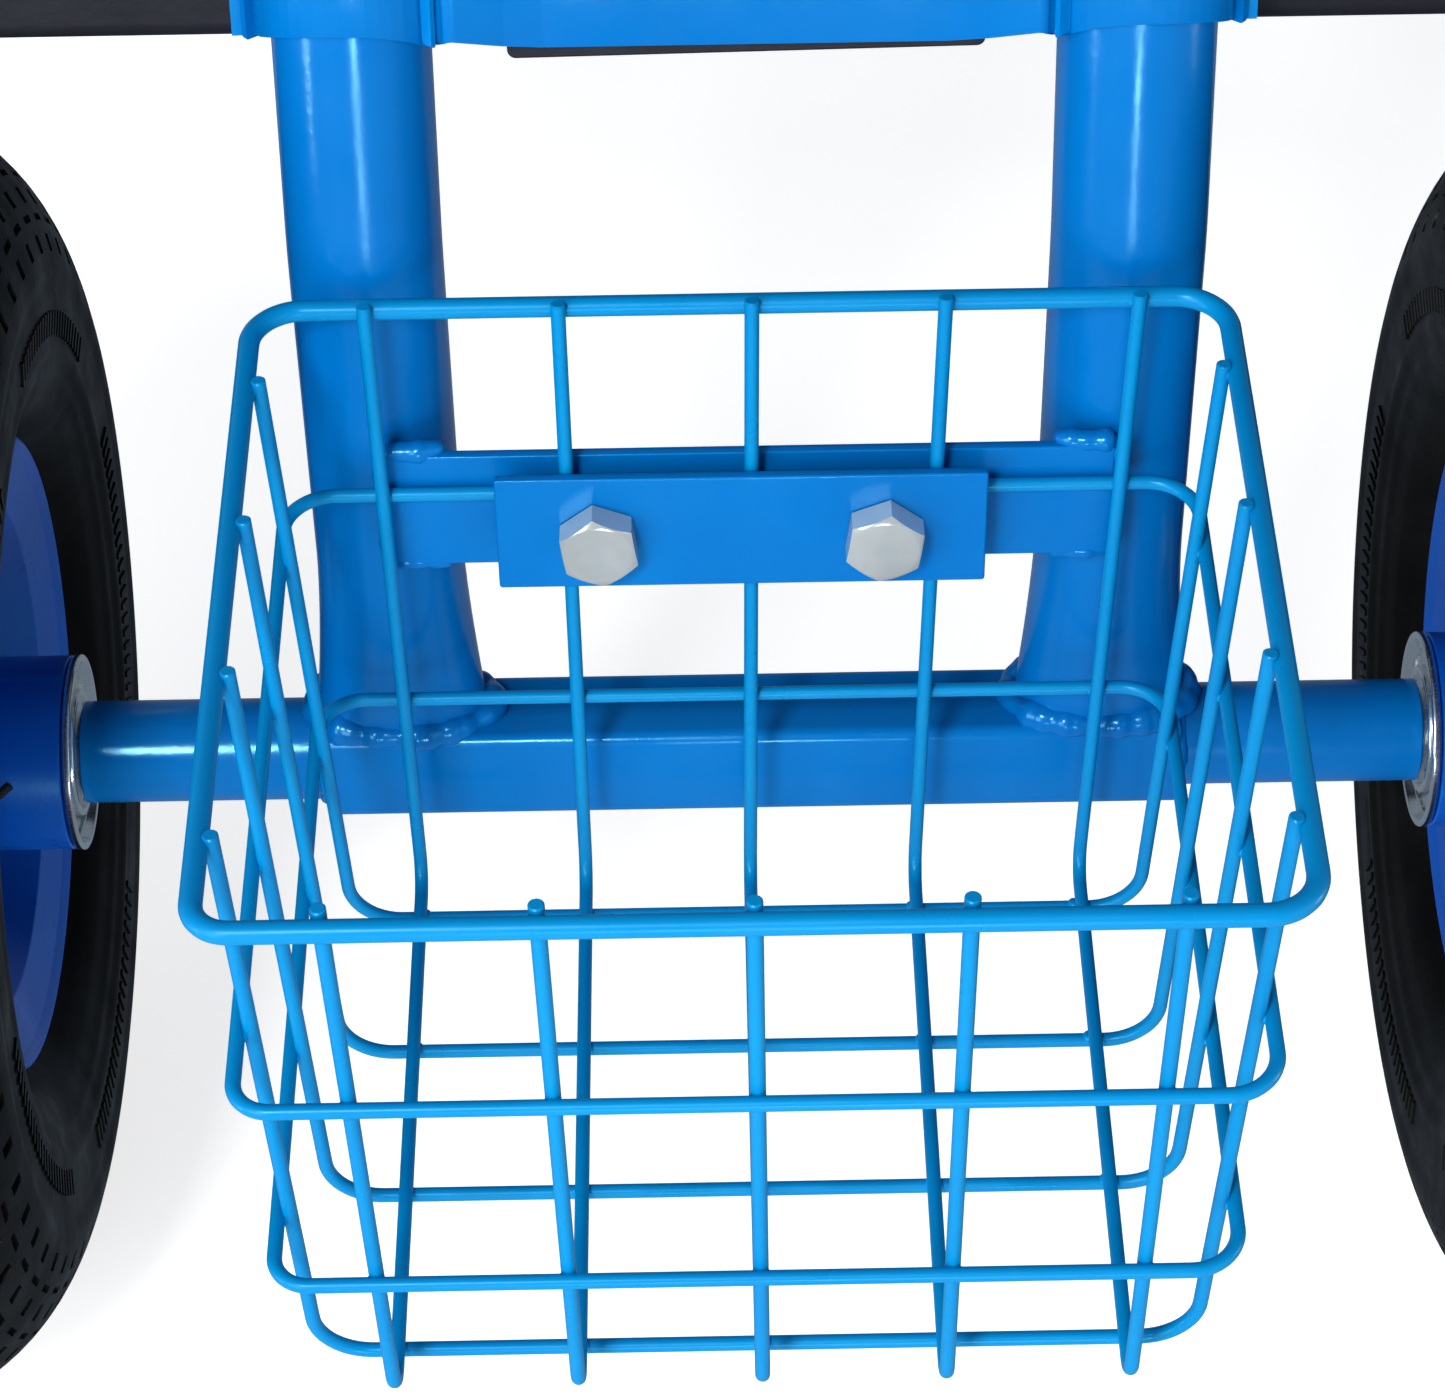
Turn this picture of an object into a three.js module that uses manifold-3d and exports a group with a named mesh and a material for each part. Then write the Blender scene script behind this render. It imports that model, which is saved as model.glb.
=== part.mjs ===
// Garden hose reel cart: a two-wheeled steel tube frame with a wire tool basket in front
// of its axle, a hose drum between two side plates behind it, and a handle hoop on top.
// Millimetres, +Z up. The cart faces -Y (basket side) and its axle runs along X.
import * as THREE from "three";
import { mergeVertices } from "three/addons/utils/BufferGeometryUtils.js";
import Module from "manifold-3d";

const wasm = await Module();
wasm.setup();

// ---------------------------------------------------------------- driving dimensions
const GAP = 0.3;                       // clearance left between pieces that touch
const DEG = Math.PI / 180;

// Corner radius of a many-sided bore whose flats just clear a round shaft.
const boreFor = (radius, sides) => (radius + 0.06) / Math.cos(Math.PI / sides);

const wheelRadius = 128;               // 4.10/3.50-4 pneumatic tyre
const axleHeight = wheelRadius;
const wheelCentreX = 171.5;            // track of 343
const tyreHalfWidth = 39;
const tyreSectionHeight = 41;
const rimFlangeRadius = 62.4;
const rimFlangeOffset = 28;
const hubRadius = 19;
const hubHalfLength = 39;
const axleRodRadius = 8;
const axleRodHalfLength = 231;

const uprightRadius = 13.75;           // 27.5 mm tube
const uprightWall = 1.8;
const uprightX = 67.5;                 // half the distance between the uprights
const kneeHeight = axleHeight + 119;   // first bend, above the basket
const kneeLean = 10.8 * DEG;
const shoulderHeight = 345;            // second bend, above the lower saddle
const shoulderLean = 38 * DEG;
const uprightReach = 430;              // length of the leaning stretch of each upright
const crossbarSide = 20;
const crossbarHalfLength = 83;
const sleeveRadius = 10;

const rimWireRadius = 1.85;
const wireRadius = 1.3;

const drumRadius = 70;
const drumFlangeRadius = 165;
const drumFlangeX = 118;
const drumY = 259;
const drumHeight = 336;
const sidePlateX = 140;
const sidePlateThickness = 4;
const shaftRadius = 10;

const standFootY = 492;
const standTubeRadius = 11;

// ---------------------------------------------------------------- geometry helpers
const v3 = (x, y, z) => new THREE.Vector3(x, y, z);

function toSolid(geometry) {
  const bare = geometry.index ? geometry.clone() : geometry;
  for (const name of ["normal", "uv"]) {
    bare.deleteAttribute(name);
  }
  const merged = mergeVertices(bare, 1e-4);
  const mesh = new wasm.Mesh({
    numProp: 3,
    vertProperties: new Float32Array(merged.attributes.position.array),
    triVerts: new Uint32Array(merged.index.array),
  });
  return new wasm.Manifold(mesh);
}

function toGeometry(manifold) {
  const mesh = manifold.getMesh();
  const geometry = new THREE.BufferGeometry();
  geometry.setAttribute("position", new THREE.BufferAttribute(mesh.vertProperties, 3));
  geometry.setIndex(new THREE.BufferAttribute(mesh.triVerts, 1));
  return geometry;
}

const join = (geometries) => toGeometry(geometries.map(toSolid).reduce((a, b) => a.add(b)));

function cut(geometry, cutters) {
  return toGeometry(cutters.map(toSolid).reduce((a, b) => a.subtract(b), toSolid(geometry)));
}

// A straight round bar along X, Y or Z, centred on a point.
function bar(radius, length, axis, centre, sides = 16) {
  const geometry = new THREE.CylinderGeometry(radius, radius, length, sides);
  if (axis === "x") geometry.rotateZ(-Math.PI / 2);
  if (axis === "z") geometry.rotateX(Math.PI / 2);
  return geometry.translate(centre.x, centre.y, centre.z);
}

const block = (x, y, z, centre) => new THREE.BoxGeometry(x, y, z).translate(centre.x, centre.y, centre.z);

// A body of revolution about X. The profile is a closed list of [x, radius] pairs.
function turned(profile, segments) {
  const points = profile.map(([x, r]) => new THREE.Vector2(r, x));
  points.push(points[0].clone());
  const area = THREE.ShapeUtils.area(points);
  if (area < 0) points.reverse();
  return new THREE.LatheGeometry(points, segments).rotateZ(-Math.PI / 2);
}

// Rounds the corners of a polyline with arcs of the given radius.
function roundedPath(corners, radius, steps, closed = false) {
  const path = [];
  const count = corners.length;
  corners.forEach((corner, i) => {
    if (!closed && (i === 0 || i === count - 1)) {
      path.push(corner.clone());
      return;
    }
    const before = corners[(i + count - 1) % count].clone().sub(corner).normalize();
    const after = corners[(i + 1) % count].clone().sub(corner).normalize();
    const half = before.angleTo(after) / 2;
    const reach = radius / Math.tan(half);
    const bisector = before.clone().add(after).normalize();
    const centre = corner.clone().addScaledVector(bisector, radius / Math.sin(half));
    const start = corner.clone().addScaledVector(before, reach).sub(centre);
    const end = corner.clone().addScaledVector(after, reach).sub(centre);
    const axis = start.clone().cross(end).normalize();
    const sweepAngle = start.angleTo(end);
    for (let k = 0; k <= steps; k++) {
      path.push(start.clone().applyAxisAngle(axis, (sweepAngle * k) / steps).add(centre));
    }
  });
  return path;
}

// Sweeps a round or oval section along a flat path whose plane has the given normal.
// section(i) gives [half width along the normal, half width across it] at point i.
function sweep(path, normal, section, sides, closed = false) {
  const positions = [];
  const triangles = [];
  const last = path.length - 1;
  path.forEach((point, i) => {
    const before = closed ? path[(i + last) % path.length] : path[Math.max(i - 1, 0)];
    const after = closed ? path[(i + 1) % path.length] : path[Math.min(i + 1, last)];
    const incoming = point.clone().sub(before).normalize();
    const outgoing = after.clone().sub(point).normalize();
    const tangent = incoming.clone().add(outgoing).normalize();
    const across = tangent.clone().cross(normal).normalize();
    const bend = incoming.lengthSq() && outgoing.lengthSq() ? incoming.angleTo(outgoing) / 2 : 0;
    const [a, b] = section(i);
    for (let k = 0; k < sides; k++) {
      const angle = (2 * Math.PI * k) / sides;
      const p = point.clone()
        .addScaledVector(normal, a * Math.cos(angle))
        .addScaledVector(across, (b * Math.sin(angle)) / Math.cos(bend));
      positions.push(p.x, p.y, p.z);
    }
  });
  const rings = closed ? path.length : last;
  for (let i = 0; i < rings; i++) {
    const j = (i + 1) % path.length;
    for (let k = 0; k < sides; k++) {
      const m = (k + 1) % sides;
      const [p, q, r, s] = [i * sides + k, i * sides + m, j * sides + m, j * sides + k];
      triangles.push(p, q, r, p, r, s);
    }
  }
  if (!closed) {
    for (let k = 1; k < sides - 1; k++) {
      triangles.push(0, k + 1, k);
      const base = last * sides;
      triangles.push(base, base + k, base + k + 1);
    }
  }
  const geometry = new THREE.BufferGeometry();
  geometry.setAttribute("position", new THREE.Float32BufferAttribute(positions, 3));
  geometry.setIndex(triangles);
  return outward(geometry);
}

// Turns every face round if the mesh encloses a negative volume.
function outward(geometry) {
  const p = geometry.attributes.position;
  const index = geometry.index.array;
  let volume = 0;
  for (let i = 0; i < index.length; i += 3) {
    const [a, b, c] = [0, 1, 2].map((k) => new THREE.Vector3().fromBufferAttribute(p, index[i + k]));
    volume += a.dot(b.cross(c));
  }
  if (volume < 0) {
    for (let i = 0; i < index.length; i += 3) {
      [index[i + 1], index[i + 2]] = [index[i + 2], index[i + 1]];
    }
  }
  return geometry;
}

const wire = (path, normal, radius, sides = 6, closed = false) =>
  sweep(path, normal, () => [radius, radius], sides, closed);

// A hexagon bolt along +Y with its head at the front: the head's underside is at y = 0,
// the shank runs to y = grip and a nut closes it there.
function boltAndNut({ flats, shank, grip, nutFlats = flats }) {
  const headHeight = shank * 1.3;
  const nutHeight = shank * 1.6;
  const hexagon = (acrossFlats, height, y) => {
    const geometry = new THREE.CylinderGeometry(
      acrossFlats / Math.sqrt(3), acrossFlats / Math.sqrt(3), height, 6);
    return geometry.translate(0, y, 0);
  };
  return join([
    hexagon(flats, headHeight, -headHeight / 2),
    bar(shank, grip + nutHeight + 3, "y", v3(0, (grip + nutHeight + 3) / 2 - 1, 0), 8),
    hexagon(nutFlats, nutHeight, grip + nutHeight / 2),
  ]);
}

const X_AXIS = v3(1, 0, 0);
const Y_AXIS = v3(0, 1, 0);
const Z_AXIS = v3(0, 0, 1);

// ---------------------------------------------------------------- materials and scene graph
const paint = (color, roughness, metalness = 0.1) =>
  new THREE.MeshStandardMaterial({ color, roughness, metalness });
const frameBlue = paint(0x0a6fc8, 0.25);
const basketBlue = paint(0x1b86d8, 0.35);
const rimBlue = paint(0x0a5cae, 0.45);
const frameBlack = paint(0x1c1d20, 0.5);
const zinc = paint(0xc9ccd0, 0.3, 0.9);
const brass = paint(0xb99345, 0.35, 0.9);
const rubber = paint(0x17181a, 0.85, 0);
const blackPlastic = paint(0x202124, 0.6, 0);

const cart = new THREE.Group();
cart.name = "hose_reel_cart";

function place(parent, name, geometry, material) {
  const mesh = new THREE.Mesh(geometry, material);
  mesh.name = name;
  parent.add(mesh);
  return mesh;
}

// A frame whose local Z runs up a leaning tube and whose local Y points square behind it.
function leaningFrame(y, z, lean) {
  const frame = new THREE.Group();
  frame.position.set(0, y, z);
  frame.rotation.x = -lean;
  cart.add(frame);
  return frame;
}

const SIDES = [["left", -1], ["right", 1]];

// ---------------------------------------------------------------- uprights and handle
const alongLean = (start, lean, length) =>
  v3(0, start.y + Math.sin(lean) * length, start.z + Math.cos(lean) * length);
const knee = v3(0, 0, kneeHeight);
const shoulder = alongLean(knee, kneeLean, (shoulderHeight - kneeHeight) / Math.cos(kneeLean));
const uprightTop = alongLean(shoulder, shoulderLean, uprightReach);
const handleBoltReach = uprightReach - 30;

const flareHeight = 40;                // the squashed foot of each upright
const footHalfWidth = 16.6;
const footHalfDepth = 9.8;

function upright(side) {
  const foot = v3(0, 0, axleHeight + crossbarSide / 2 + GAP);
  const flareStart = v3(0, 0, foot.z + flareHeight);
  const bent = roundedPath([flareStart, knee, shoulder, uprightTop], 55, 3);
  const flareSteps = 3;
  const flare = [];
  for (let i = 0; i < flareSteps; i++) {
    flare.push(v3(0, 0, foot.z + (flareHeight * i) / flareSteps));
  }
  const path = [...flare, ...bent];
  const section = (wall) => (i) => {
    const squash = Math.max(0, 1 - i / flareSteps) ** 1.5;
    const halfWidth = uprightRadius + (footHalfWidth - uprightRadius) * squash;
    const halfDepth = uprightRadius + (footHalfDepth - uprightRadius) * squash;
    return [halfWidth - wall, halfDepth - wall];
  };
  const innerPath = path.map((p) => p.clone());
  innerPath[0].z += uprightWall;
  innerPath.push(alongLean(uprightTop, shoulderLean, 2));
  const outer = sweep(path, X_AXIS, section(0), 12);
  const inner = sweep(innerPath, X_AXIS, section(uprightWall), 10);
  const bolt = alongLean(shoulder, shoulderLean, handleBoltReach);
  const hole = bar(3.4, 60, "x", v3(0, bolt.y, bolt.z), 8);
  return cut(outer, [inner, hole]).translate(side * uprightX, 0, 0);
}

for (const [name, side] of SIDES) {
  place(cart, `upright_${name}`, upright(side), frameBlue);
}

// The hoop's legs slide into the uprights, then it bends back to a level grip.
const hoopRadius = 11;                 // 22 mm tube, a sliding fit in the uprights
const hoopInsert = 70;
const hoopReach = 190;
const gripLean = 62 * DEG;
const gripReach = 90;
const hoopCorner = alongLean(shoulder, shoulderLean, uprightReach + hoopReach);
const hoopTop = alongLean(hoopCorner, gripLean, gripReach);

const hoopWall = 1.5;

// The hoop's legs and its arch lie in two planes that meet on the slope above the corner.
function hoopSweep(radius, sides, overrun) {
  const legStart = alongLean(shoulder, shoulderLean, uprightReach - hoopInsert - overrun);
  const legEnd = alongLean(hoopCorner, gripLean, gripReach - 40);
  const legs = SIDES.map(([, side]) => {
    const corners = [legStart, hoopCorner, legEnd].map((p) => v3(side * uprightX, p.y, p.z));
    return wire(roundedPath(corners, 60, 4), X_AXIS, radius, sides);
  });
  const slope = v3(0, Math.sin(gripLean), Math.cos(gripLean));
  const low = alongLean(hoopCorner, gripLean, gripReach - 41);
  const archCorners = [
    v3(-uprightX, low.y, low.z), v3(-uprightX, hoopTop.y, hoopTop.z),
    v3(uprightX, hoopTop.y, hoopTop.z), v3(uprightX, low.y, low.z),
  ];
  const arch = wire(roundedPath(archCorners, 38, 5), X_AXIS.clone().cross(slope).normalize(), radius, sides);
  return join([...legs, arch]);
}

function handleHoop() {
  const bolt = alongLean(shoulder, shoulderLean, handleBoltReach);
  const hole = bar(3.4, 2 * uprightX + 60, "x", v3(0, bolt.y, bolt.z), 8);
  return cut(hoopSweep(hoopRadius, 12, 0), [hoopSweep(hoopRadius - hoopWall, 8, 2), hole]);
}
place(cart, "handle_hoop", handleHoop(), frameBlue);

const gripHalfLength = 27;
place(cart, "handle_grip",
  cut(bar(hoopRadius + 4.5, 2 * gripHalfLength, "x", v3(0, hoopTop.y, hoopTop.z), 18),
    [bar(hoopRadius + GAP, 2 * gripHalfLength + 4, "x", v3(0, hoopTop.y, hoopTop.z), 16)]), rubber);

for (const [name, side] of SIDES) {
  const at = alongLean(shoulder, shoulderLean, handleBoltReach);
  const bolt = boltAndNut({ flats: 10, shank: 3, grip: 2 * uprightRadius + 2 * GAP });
  bolt.rotateZ(side > 0 ? Math.PI / 2 : -Math.PI / 2);
  bolt.translate(side * (uprightX + uprightRadius + GAP), at.y, at.z);
  place(cart, `handle_bolt_${name}`, bolt, zinc);
}

// ---------------------------------------------------------------- axle
function squareTube(width, depth, length, wall) {
  return cut(block(length, depth, width, v3(0, 0, 0)),
    [block(length + 4, depth - 2 * wall, width - 2 * wall, v3(0, 0, 0))]);
}

place(cart, "axle_crossbar", squareTube(crossbarSide, crossbarSide, 2 * crossbarHalfLength, 1.5), frameBlue)
  .position.set(0, 0, axleHeight);

const hubInnerX = wheelCentreX - hubHalfLength;       // face of each hub towards the frame
const sleeveEnd = hubInnerX - 2.2;
for (const [name, side] of SIDES) {
  const start = crossbarHalfLength + GAP;
  const length = sleeveEnd - start;
  const middle = v3(side * (start + length / 2), 0, axleHeight);
  place(cart, `axle_sleeve_${name}`,
    cut(bar(sleeveRadius, length, "x", middle, 24), [bar(axleRodRadius + GAP, length + 4, "x", middle, 16)]),
    frameBlue);
}
place(cart, "axle_rod", bar(axleRodRadius, 2 * axleRodHalfLength, "x", v3(0, 0, axleHeight), 20), zinc);

// ---------------------------------------------------------------- wheels
// Half profiles below are [offset from the wheel's middle plane, radius].
function tyreProfile() {
  const centreRadius = wheelRadius - tyreSectionHeight;
  const wall = 5;
  const steps = 8;
  const arc = (inset, from) => Array.from({ length: steps + 1 }, (_, i) => {
    const angle = from + ((Math.PI - 2 * from) * i) / steps;
    return [(tyreHalfWidth - inset) * Math.cos(angle), centreRadius + (tyreSectionHeight - inset) * Math.sin(angle)];
  });
  // The bead stands on the rim's seat, inside its flange.
  const seat = rimFlangeRadius - 11;
  const bead = [[18, seat - 1.8], [22.3, seat + 0.4], [25, seat + 9], [27.5, rimFlangeRadius + 2.2]];
  const beadInside = [19, seat + 6];
  const mirror = ([x, r]) => [-x, r];
  return [
    ...bead, ...arc(0, -28 * DEG), ...bead.map(mirror).reverse(),
    mirror(beadInside), ...arc(wall, -35 * DEG).reverse(), beadInside,
  ];
}

function tubeProfile(a, b, sides) {
  const centreRadius = wheelRadius - tyreSectionHeight;
  return Array.from({ length: sides }, (_, i) => {
    const angle = (2 * Math.PI * i) / sides;
    return [a * Math.cos(angle), centreRadius + b * Math.sin(angle)];
  });
}

const discOffset = 1.2;                // half the gap between the two discs
const sheet = 1.8;                     // thickness of the pressed rim halves
function rimHalfProfile() {
  const seat = rimFlangeRadius - 11;
  const face = [
    [discOffset, hubRadius + GAP], [discOffset, 36], [discOffset + 9, 45.5],
    [rimFlangeOffset - 5, seat], [rimFlangeOffset - 1.5, rimFlangeRadius],
  ];
  const back = [
    [rimFlangeOffset + 1, rimFlangeRadius - 0.4], [rimFlangeOffset - 3.5, seat - sheet],
    [discOffset + 10.5, 45.5 - 1.7],
    [discOffset + sheet, 35], [discOffset + sheet, hubRadius + GAP],
  ];
  return [...face, ...back];
}

// Flanged ball bearing pressed into the hub's end: [distance out of the hub end, radius].
const bearingSides = 14;
function bearingProfile() {
  const cup = hubRadius - 2 - GAP;
  const bore = boreFor(axleRodRadius, bearingSides);
  return [
    [-10, bore], [-10, cup], [GAP, cup], [GAP, hubRadius + 0.2], [1.8, hubRadius + 0.2],
    [1.5, 16], [-2.5, 14.2], [-2.5, 12.4], [1.2, 12.2], [1.2, bore],
  ];
}

const valveAngle = -62 * DEG;
const valveOffset = 12;
for (const [name, side] of SIDES) {
  const wheel = new THREE.Group();
  wheel.position.set(side * wheelCentreX, 0, axleHeight);
  cart.add(wheel);
  place(wheel, `tyre_${name}`, turned(tyreProfile(), 28), rubber);

  const valveDirection = v3(0, Math.sin(valveAngle), -Math.cos(valveAngle));
  const valveAt = (radius) => valveDirection.clone().multiplyScalar(radius).setX(-side * valveOffset);
  const radial = (radius, from, to) => bar(radius, to - from, "z", v3(0, 0, 0), 8)
    .rotateX(Math.atan2(-valveDirection.y, valveDirection.z))
    .translate(...valveAt((from + to) / 2).toArray());

  const tubeRing = turned(tubeProfile(31, 32.5, 6), 16);
  const hollow = turned(tubeProfile(28.5, 30, 6), 16);
  place(wheel, `inner_tube_${name}`, cut(tubeRing, [hollow, radial(4.6, 50, 70)]), rubber);

  for (const [face, turn] of [["inner", -side], ["outer", side]]) {
    const profile = rimHalfProfile().map(([x, r]) => [turn * x, r]);
    let rim = turned(profile, 20);
    if (face === "inner") rim = cut(rim, [radial(4.6, 30, 62)]);
    place(wheel, `rim_${face}_${name}`, rim, rimBlue);
    const bearing = bearingProfile().map(([x, r]) => [turn * (x + hubHalfLength), r]);
    place(wheel, `bearing_${face}_${name}`, turned(bearing, bearingSides), zinc);
  }
  place(wheel, `wheel_hub_${name}`, turned([
    [-hubHalfLength, hubRadius], [hubHalfLength, hubRadius],
    [hubHalfLength, hubRadius - 2], [-hubHalfLength, hubRadius - 2]], 20), rimBlue);
  place(wheel, `valve_stem_${name}`, join([radial(4.2, 28, 64), radial(5, 27, 36)]), rubber);

  const endX = side * (wheelCentreX + hubHalfLength);
  const nutX = endX + side * 9;
  const nut = new THREE.CylinderGeometry(14, 14, 12, 6).rotateZ(-Math.PI / 2).translate(nutX, 0, axleHeight);
  const washer = bar(15.5, 2, "x", v3(nutX - side * 5.4, 0, axleHeight), 20);
  place(cart, `axle_nut_${name}`,
    cut(join([nut, washer]), [bar(axleRodRadius + GAP, 20, "x", v3(nutX, 0, axleHeight), 16)]), zinc);
}

// ---------------------------------------------------------------- basket and its clamp
const basket = new THREE.Group();
basket.position.set(0, 0, axleHeight);
cart.add(basket);

const wirePlaneY = -21.5;              // the back row of wires, clamped against the brace
const weld = 0.5;                      // how far welded wires sink into each other
const basketFloor = -15;
const basketFootY = -148.8;            // front end of the floor
const rimBackHeight = 118;
const rimFrontHeight = 110.5;
const rimFrontY = -164.9;
const basketCentreX = -1.7;            // the basket hangs a little off the cart's middle
const rimHalfWidth = 84.3;
const rimTaper = 0.8;                  // the rim's front corners lie this much closer in
const floorHalfWidth = 75.6;
// The lengthwise wires fan out and drift sideways on their way up: pitch and offset at each bend.
const backTop = { pitch: 33.5, drift: 2.2 };
const backFloor = { pitch: 31.9, drift: 1.1 };
const frontFloor = { pitch: 31.3, drift: 0.8 };
const frontTop = { pitch: 32.1, drift: -0.2 };
const wireStandoff = 2 * wireRadius - weld;
const rimStandoff = rimWireRadius + wireRadius - weld;

// The lengthwise wires slope forward from the floor's front end up to the rim.
const frontWireY = (z) =>
  basketFootY + ((rimFrontY + rimStandoff - basketFootY) * (z - basketFloor)) / (rimFrontHeight - basketFloor);
// The cross wires lean out from the floor up to the rim.
const sideWireX = (z) =>
  floorHalfWidth + ((rimHalfWidth - rimStandoff - floorHalfWidth) * (z - basketFloor)) / (rimBackHeight - basketFloor);

function basketWires() {
  const hoop = (halfWidth, back, front, thickness, taper = 0) => {
    const corners = [[-1, back, 0], [1, back, 0], [1, front, taper], [-1, front, taper]]
      .map(([s, [y, z], inset]) => v3(s * (halfWidth - inset), y, z));
    const normal = v3(0, front[0] - back[0], front[1] - back[1]).normalize().cross(X_AXIS).normalize();
    return wire(roundedPath(corners, 9, 3, true), normal, thickness, 6, true);
  };
  const ring = (backHeight, frontHeight) => {
    const middle = (backHeight + frontHeight) / 2;
    return hoop(sideWireX(middle) + wireStandoff, [wirePlaneY + wireStandoff, backHeight],
      [frontWireY(frontHeight) - wireStandoff, frontHeight], wireRadius);
  };
  const rimBackY = wirePlaneY + rimStandoff;
  const pieces = [
    hoop(rimHalfWidth, [rimBackY, rimBackHeight], [rimFrontY, rimFrontHeight], rimWireRadius, rimTaper),
    ring(77.7, 66.5),
    ring(29.1, 19.7),
  ];
  const standProud = 2.5;              // cut wire ends reach a little above the rim
  for (let i = -2; i <= 2; i++) {
    const x = (bend) => bend.drift + i * bend.pitch;
    const corners = [
      v3(x(backTop), wirePlaneY, rimBackHeight + standProud), v3(x(backFloor), wirePlaneY, basketFloor),
      v3(x(frontFloor), basketFootY, basketFloor),
      v3(x(frontTop), frontWireY(rimFrontHeight + standProud), rimFrontHeight + standProud),
    ];
    pieces.push(wire(roundedPath(corners, 6, 2), X_AXIS, wireRadius));
  }
  const underFloor = basketFloor - wireStandoff;
  const firstCrossY = -40;
  const crossPitch = 35.6;
  const crossLean = 9.2;               // each cross wire's foot lies this far behind its top
  for (let i = 0; i < 4; i++) {
    const topY = firstCrossY - i * crossPitch;
    const footY = topY + crossLean;
    const rimSlope = (rimFrontHeight - rimBackHeight) / (rimFrontY - rimBackY);
    const topZ = rimBackHeight + rimSlope * (topY - rimBackY) + 2;
    const corners = [[-sideWireX(topZ), topY, topZ], [-floorHalfWidth, footY, underFloor],
      [floorHalfWidth, footY, underFloor], [sideWireX(topZ), topY, topZ]].map((p) => v3(...p));
    const normal = v3(0, topZ - underFloor, footY - topY).normalize();
    pieces.push(wire(roundedPath(corners, 10, 2), normal, wireRadius));
  }
  return join(pieces).translate(basketCentreX, 0, 0);
}
place(basket, "basket", basketWires(), basketBlue);

const clampPlateMiddle = 72.5;
const boltSpacing = 51.2;
const clampBoltHeight = 71.9;
const clampBack = wirePlaneY - wireRadius - GAP;
const clampThickness = 2;
const clampBoltX = (side) => basketCentreX + (side * boltSpacing) / 2;
const clampBoltHoles = [-1, 1].map((s) => bar(4.4, 30, "y", v3(clampBoltX(s), -20, clampBoltHeight), 12));
place(basket, "basket_clamp_plate",
  cut(block(88, clampThickness, 24.5, v3(basketCentreX, clampBack - clampThickness / 2, clampPlateMiddle)),
    clampBoltHoles),
  frameBlue);

const braceFront = wirePlaneY + wireStandoff + wireRadius + GAP;
const braceThickness = 2.2;
place(basket, "brace",
  cut(block(131, braceThickness, 24.5, v3(0, braceFront + braceThickness / 2, clampPlateMiddle)), clampBoltHoles),
  frameBlue);

for (const [name, side] of SIDES) {
  const grip = braceFront + braceThickness - (clampBack - clampThickness) + 2 * GAP;
  const bolt = boltAndNut({ flats: 13, shank: 4, grip });
  bolt.translate(clampBoltX(side), clampBack - clampThickness - GAP, clampBoltHeight);
  place(basket, `basket_bolt_${name}`, bolt, zinc);
}

// ---------------------------------------------------------------- saddles and cross bars
// Local frame: X across, Y behind the uprights' centre plane, Z up along the uprights.
const saddleThickness = 2.2;
const crownFront = uprightRadius + GAP + saddleThickness;
const recess = 6;                      // front face of the flat middle, ahead of the tube centres
const saddleHalfHeight = 18;
const saddleBoltX = 26.5;

// Front line of the pressed plate on one side, from the middle out: [x, y].
function saddleFront() {
  const line = [[34.5, -recess], [41, -recess - 1.4], [50.5, -crownFront + 4.6]];
  for (let i = 0; i <= 6; i++) {
    const angle = (152 - i * 24) * DEG;
    line.push([uprightX + crownFront * Math.cos(angle), -crownFront * Math.sin(angle)]);
  }
  line.push([uprightX + crownFront + 0.8, -1.4], [uprightX + crownFront + 4, -1.8]);
  return line;
}

function saddlePlate() {
  const half = saddleFront();
  const front = [...half.map(([x, y]) => [-x, y]).reverse(), ...half];
  const back = front.map(([x, y], i) => {
    const [ax, ay] = front[Math.max(i - 1, 0)];
    const [bx, by] = front[Math.min(i + 1, front.length - 1)];
    const length = Math.hypot(bx - ax, by - ay);
    return [x - ((by - ay) / length) * saddleThickness, y + ((bx - ax) / length) * saddleThickness];
  });
  const shape = new THREE.Shape([...front, ...back.reverse()].map(([x, y]) => new THREE.Vector2(x, y)));
  const height = 2 * saddleHalfHeight + 12;
  const plate = new THREE.ExtrudeGeometry(shape, { depth: height, bevelEnabled: false });
  plate.translate(0, 0, -height / 2);
  // Both long edges are cut on a slant, so the plate is shorter over the tubes.
  const slant = 31 * DEG;
  const trims = [-1, 1].map((end) => {
    const trim = block(220, 80, 40, v3(0, 0, end * 20));
    trim.rotateX(end * slant);
    return trim.translate(0, -recess, end * saddleHalfHeight);
  });
  // Outside the crowns the edge is cut at a smaller slant.
  const crownHalfHeight = saddleHalfHeight - (crownFront - recess) * Math.tan(slant);
  const outerSlant = 18 * DEG;
  const outerTrims = SIDES.flatMap(([, side]) => [-1, 1].map((end) => {
    const trim = block(60, 80, 40, v3(0, 0, end * 20));
    trim.rotateX(end * outerSlant);
    return trim.translate(side * (uprightX + 30), -crownFront, end * crownHalfHeight);
  }));
  const holes = [-1, 1].map((s) => bar(4.4, 30, "y", v3(s * saddleBoltX, 0, 0), 12));
  return cut(plate, [...trims, ...outerTrims, ...holes]);
}

const barHeight = 40;
const barDepth = 20;
const barFront = uprightRadius + GAP;
const backingFront = -recess + saddleThickness + GAP;
const backingThickness = 2.6;

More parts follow.
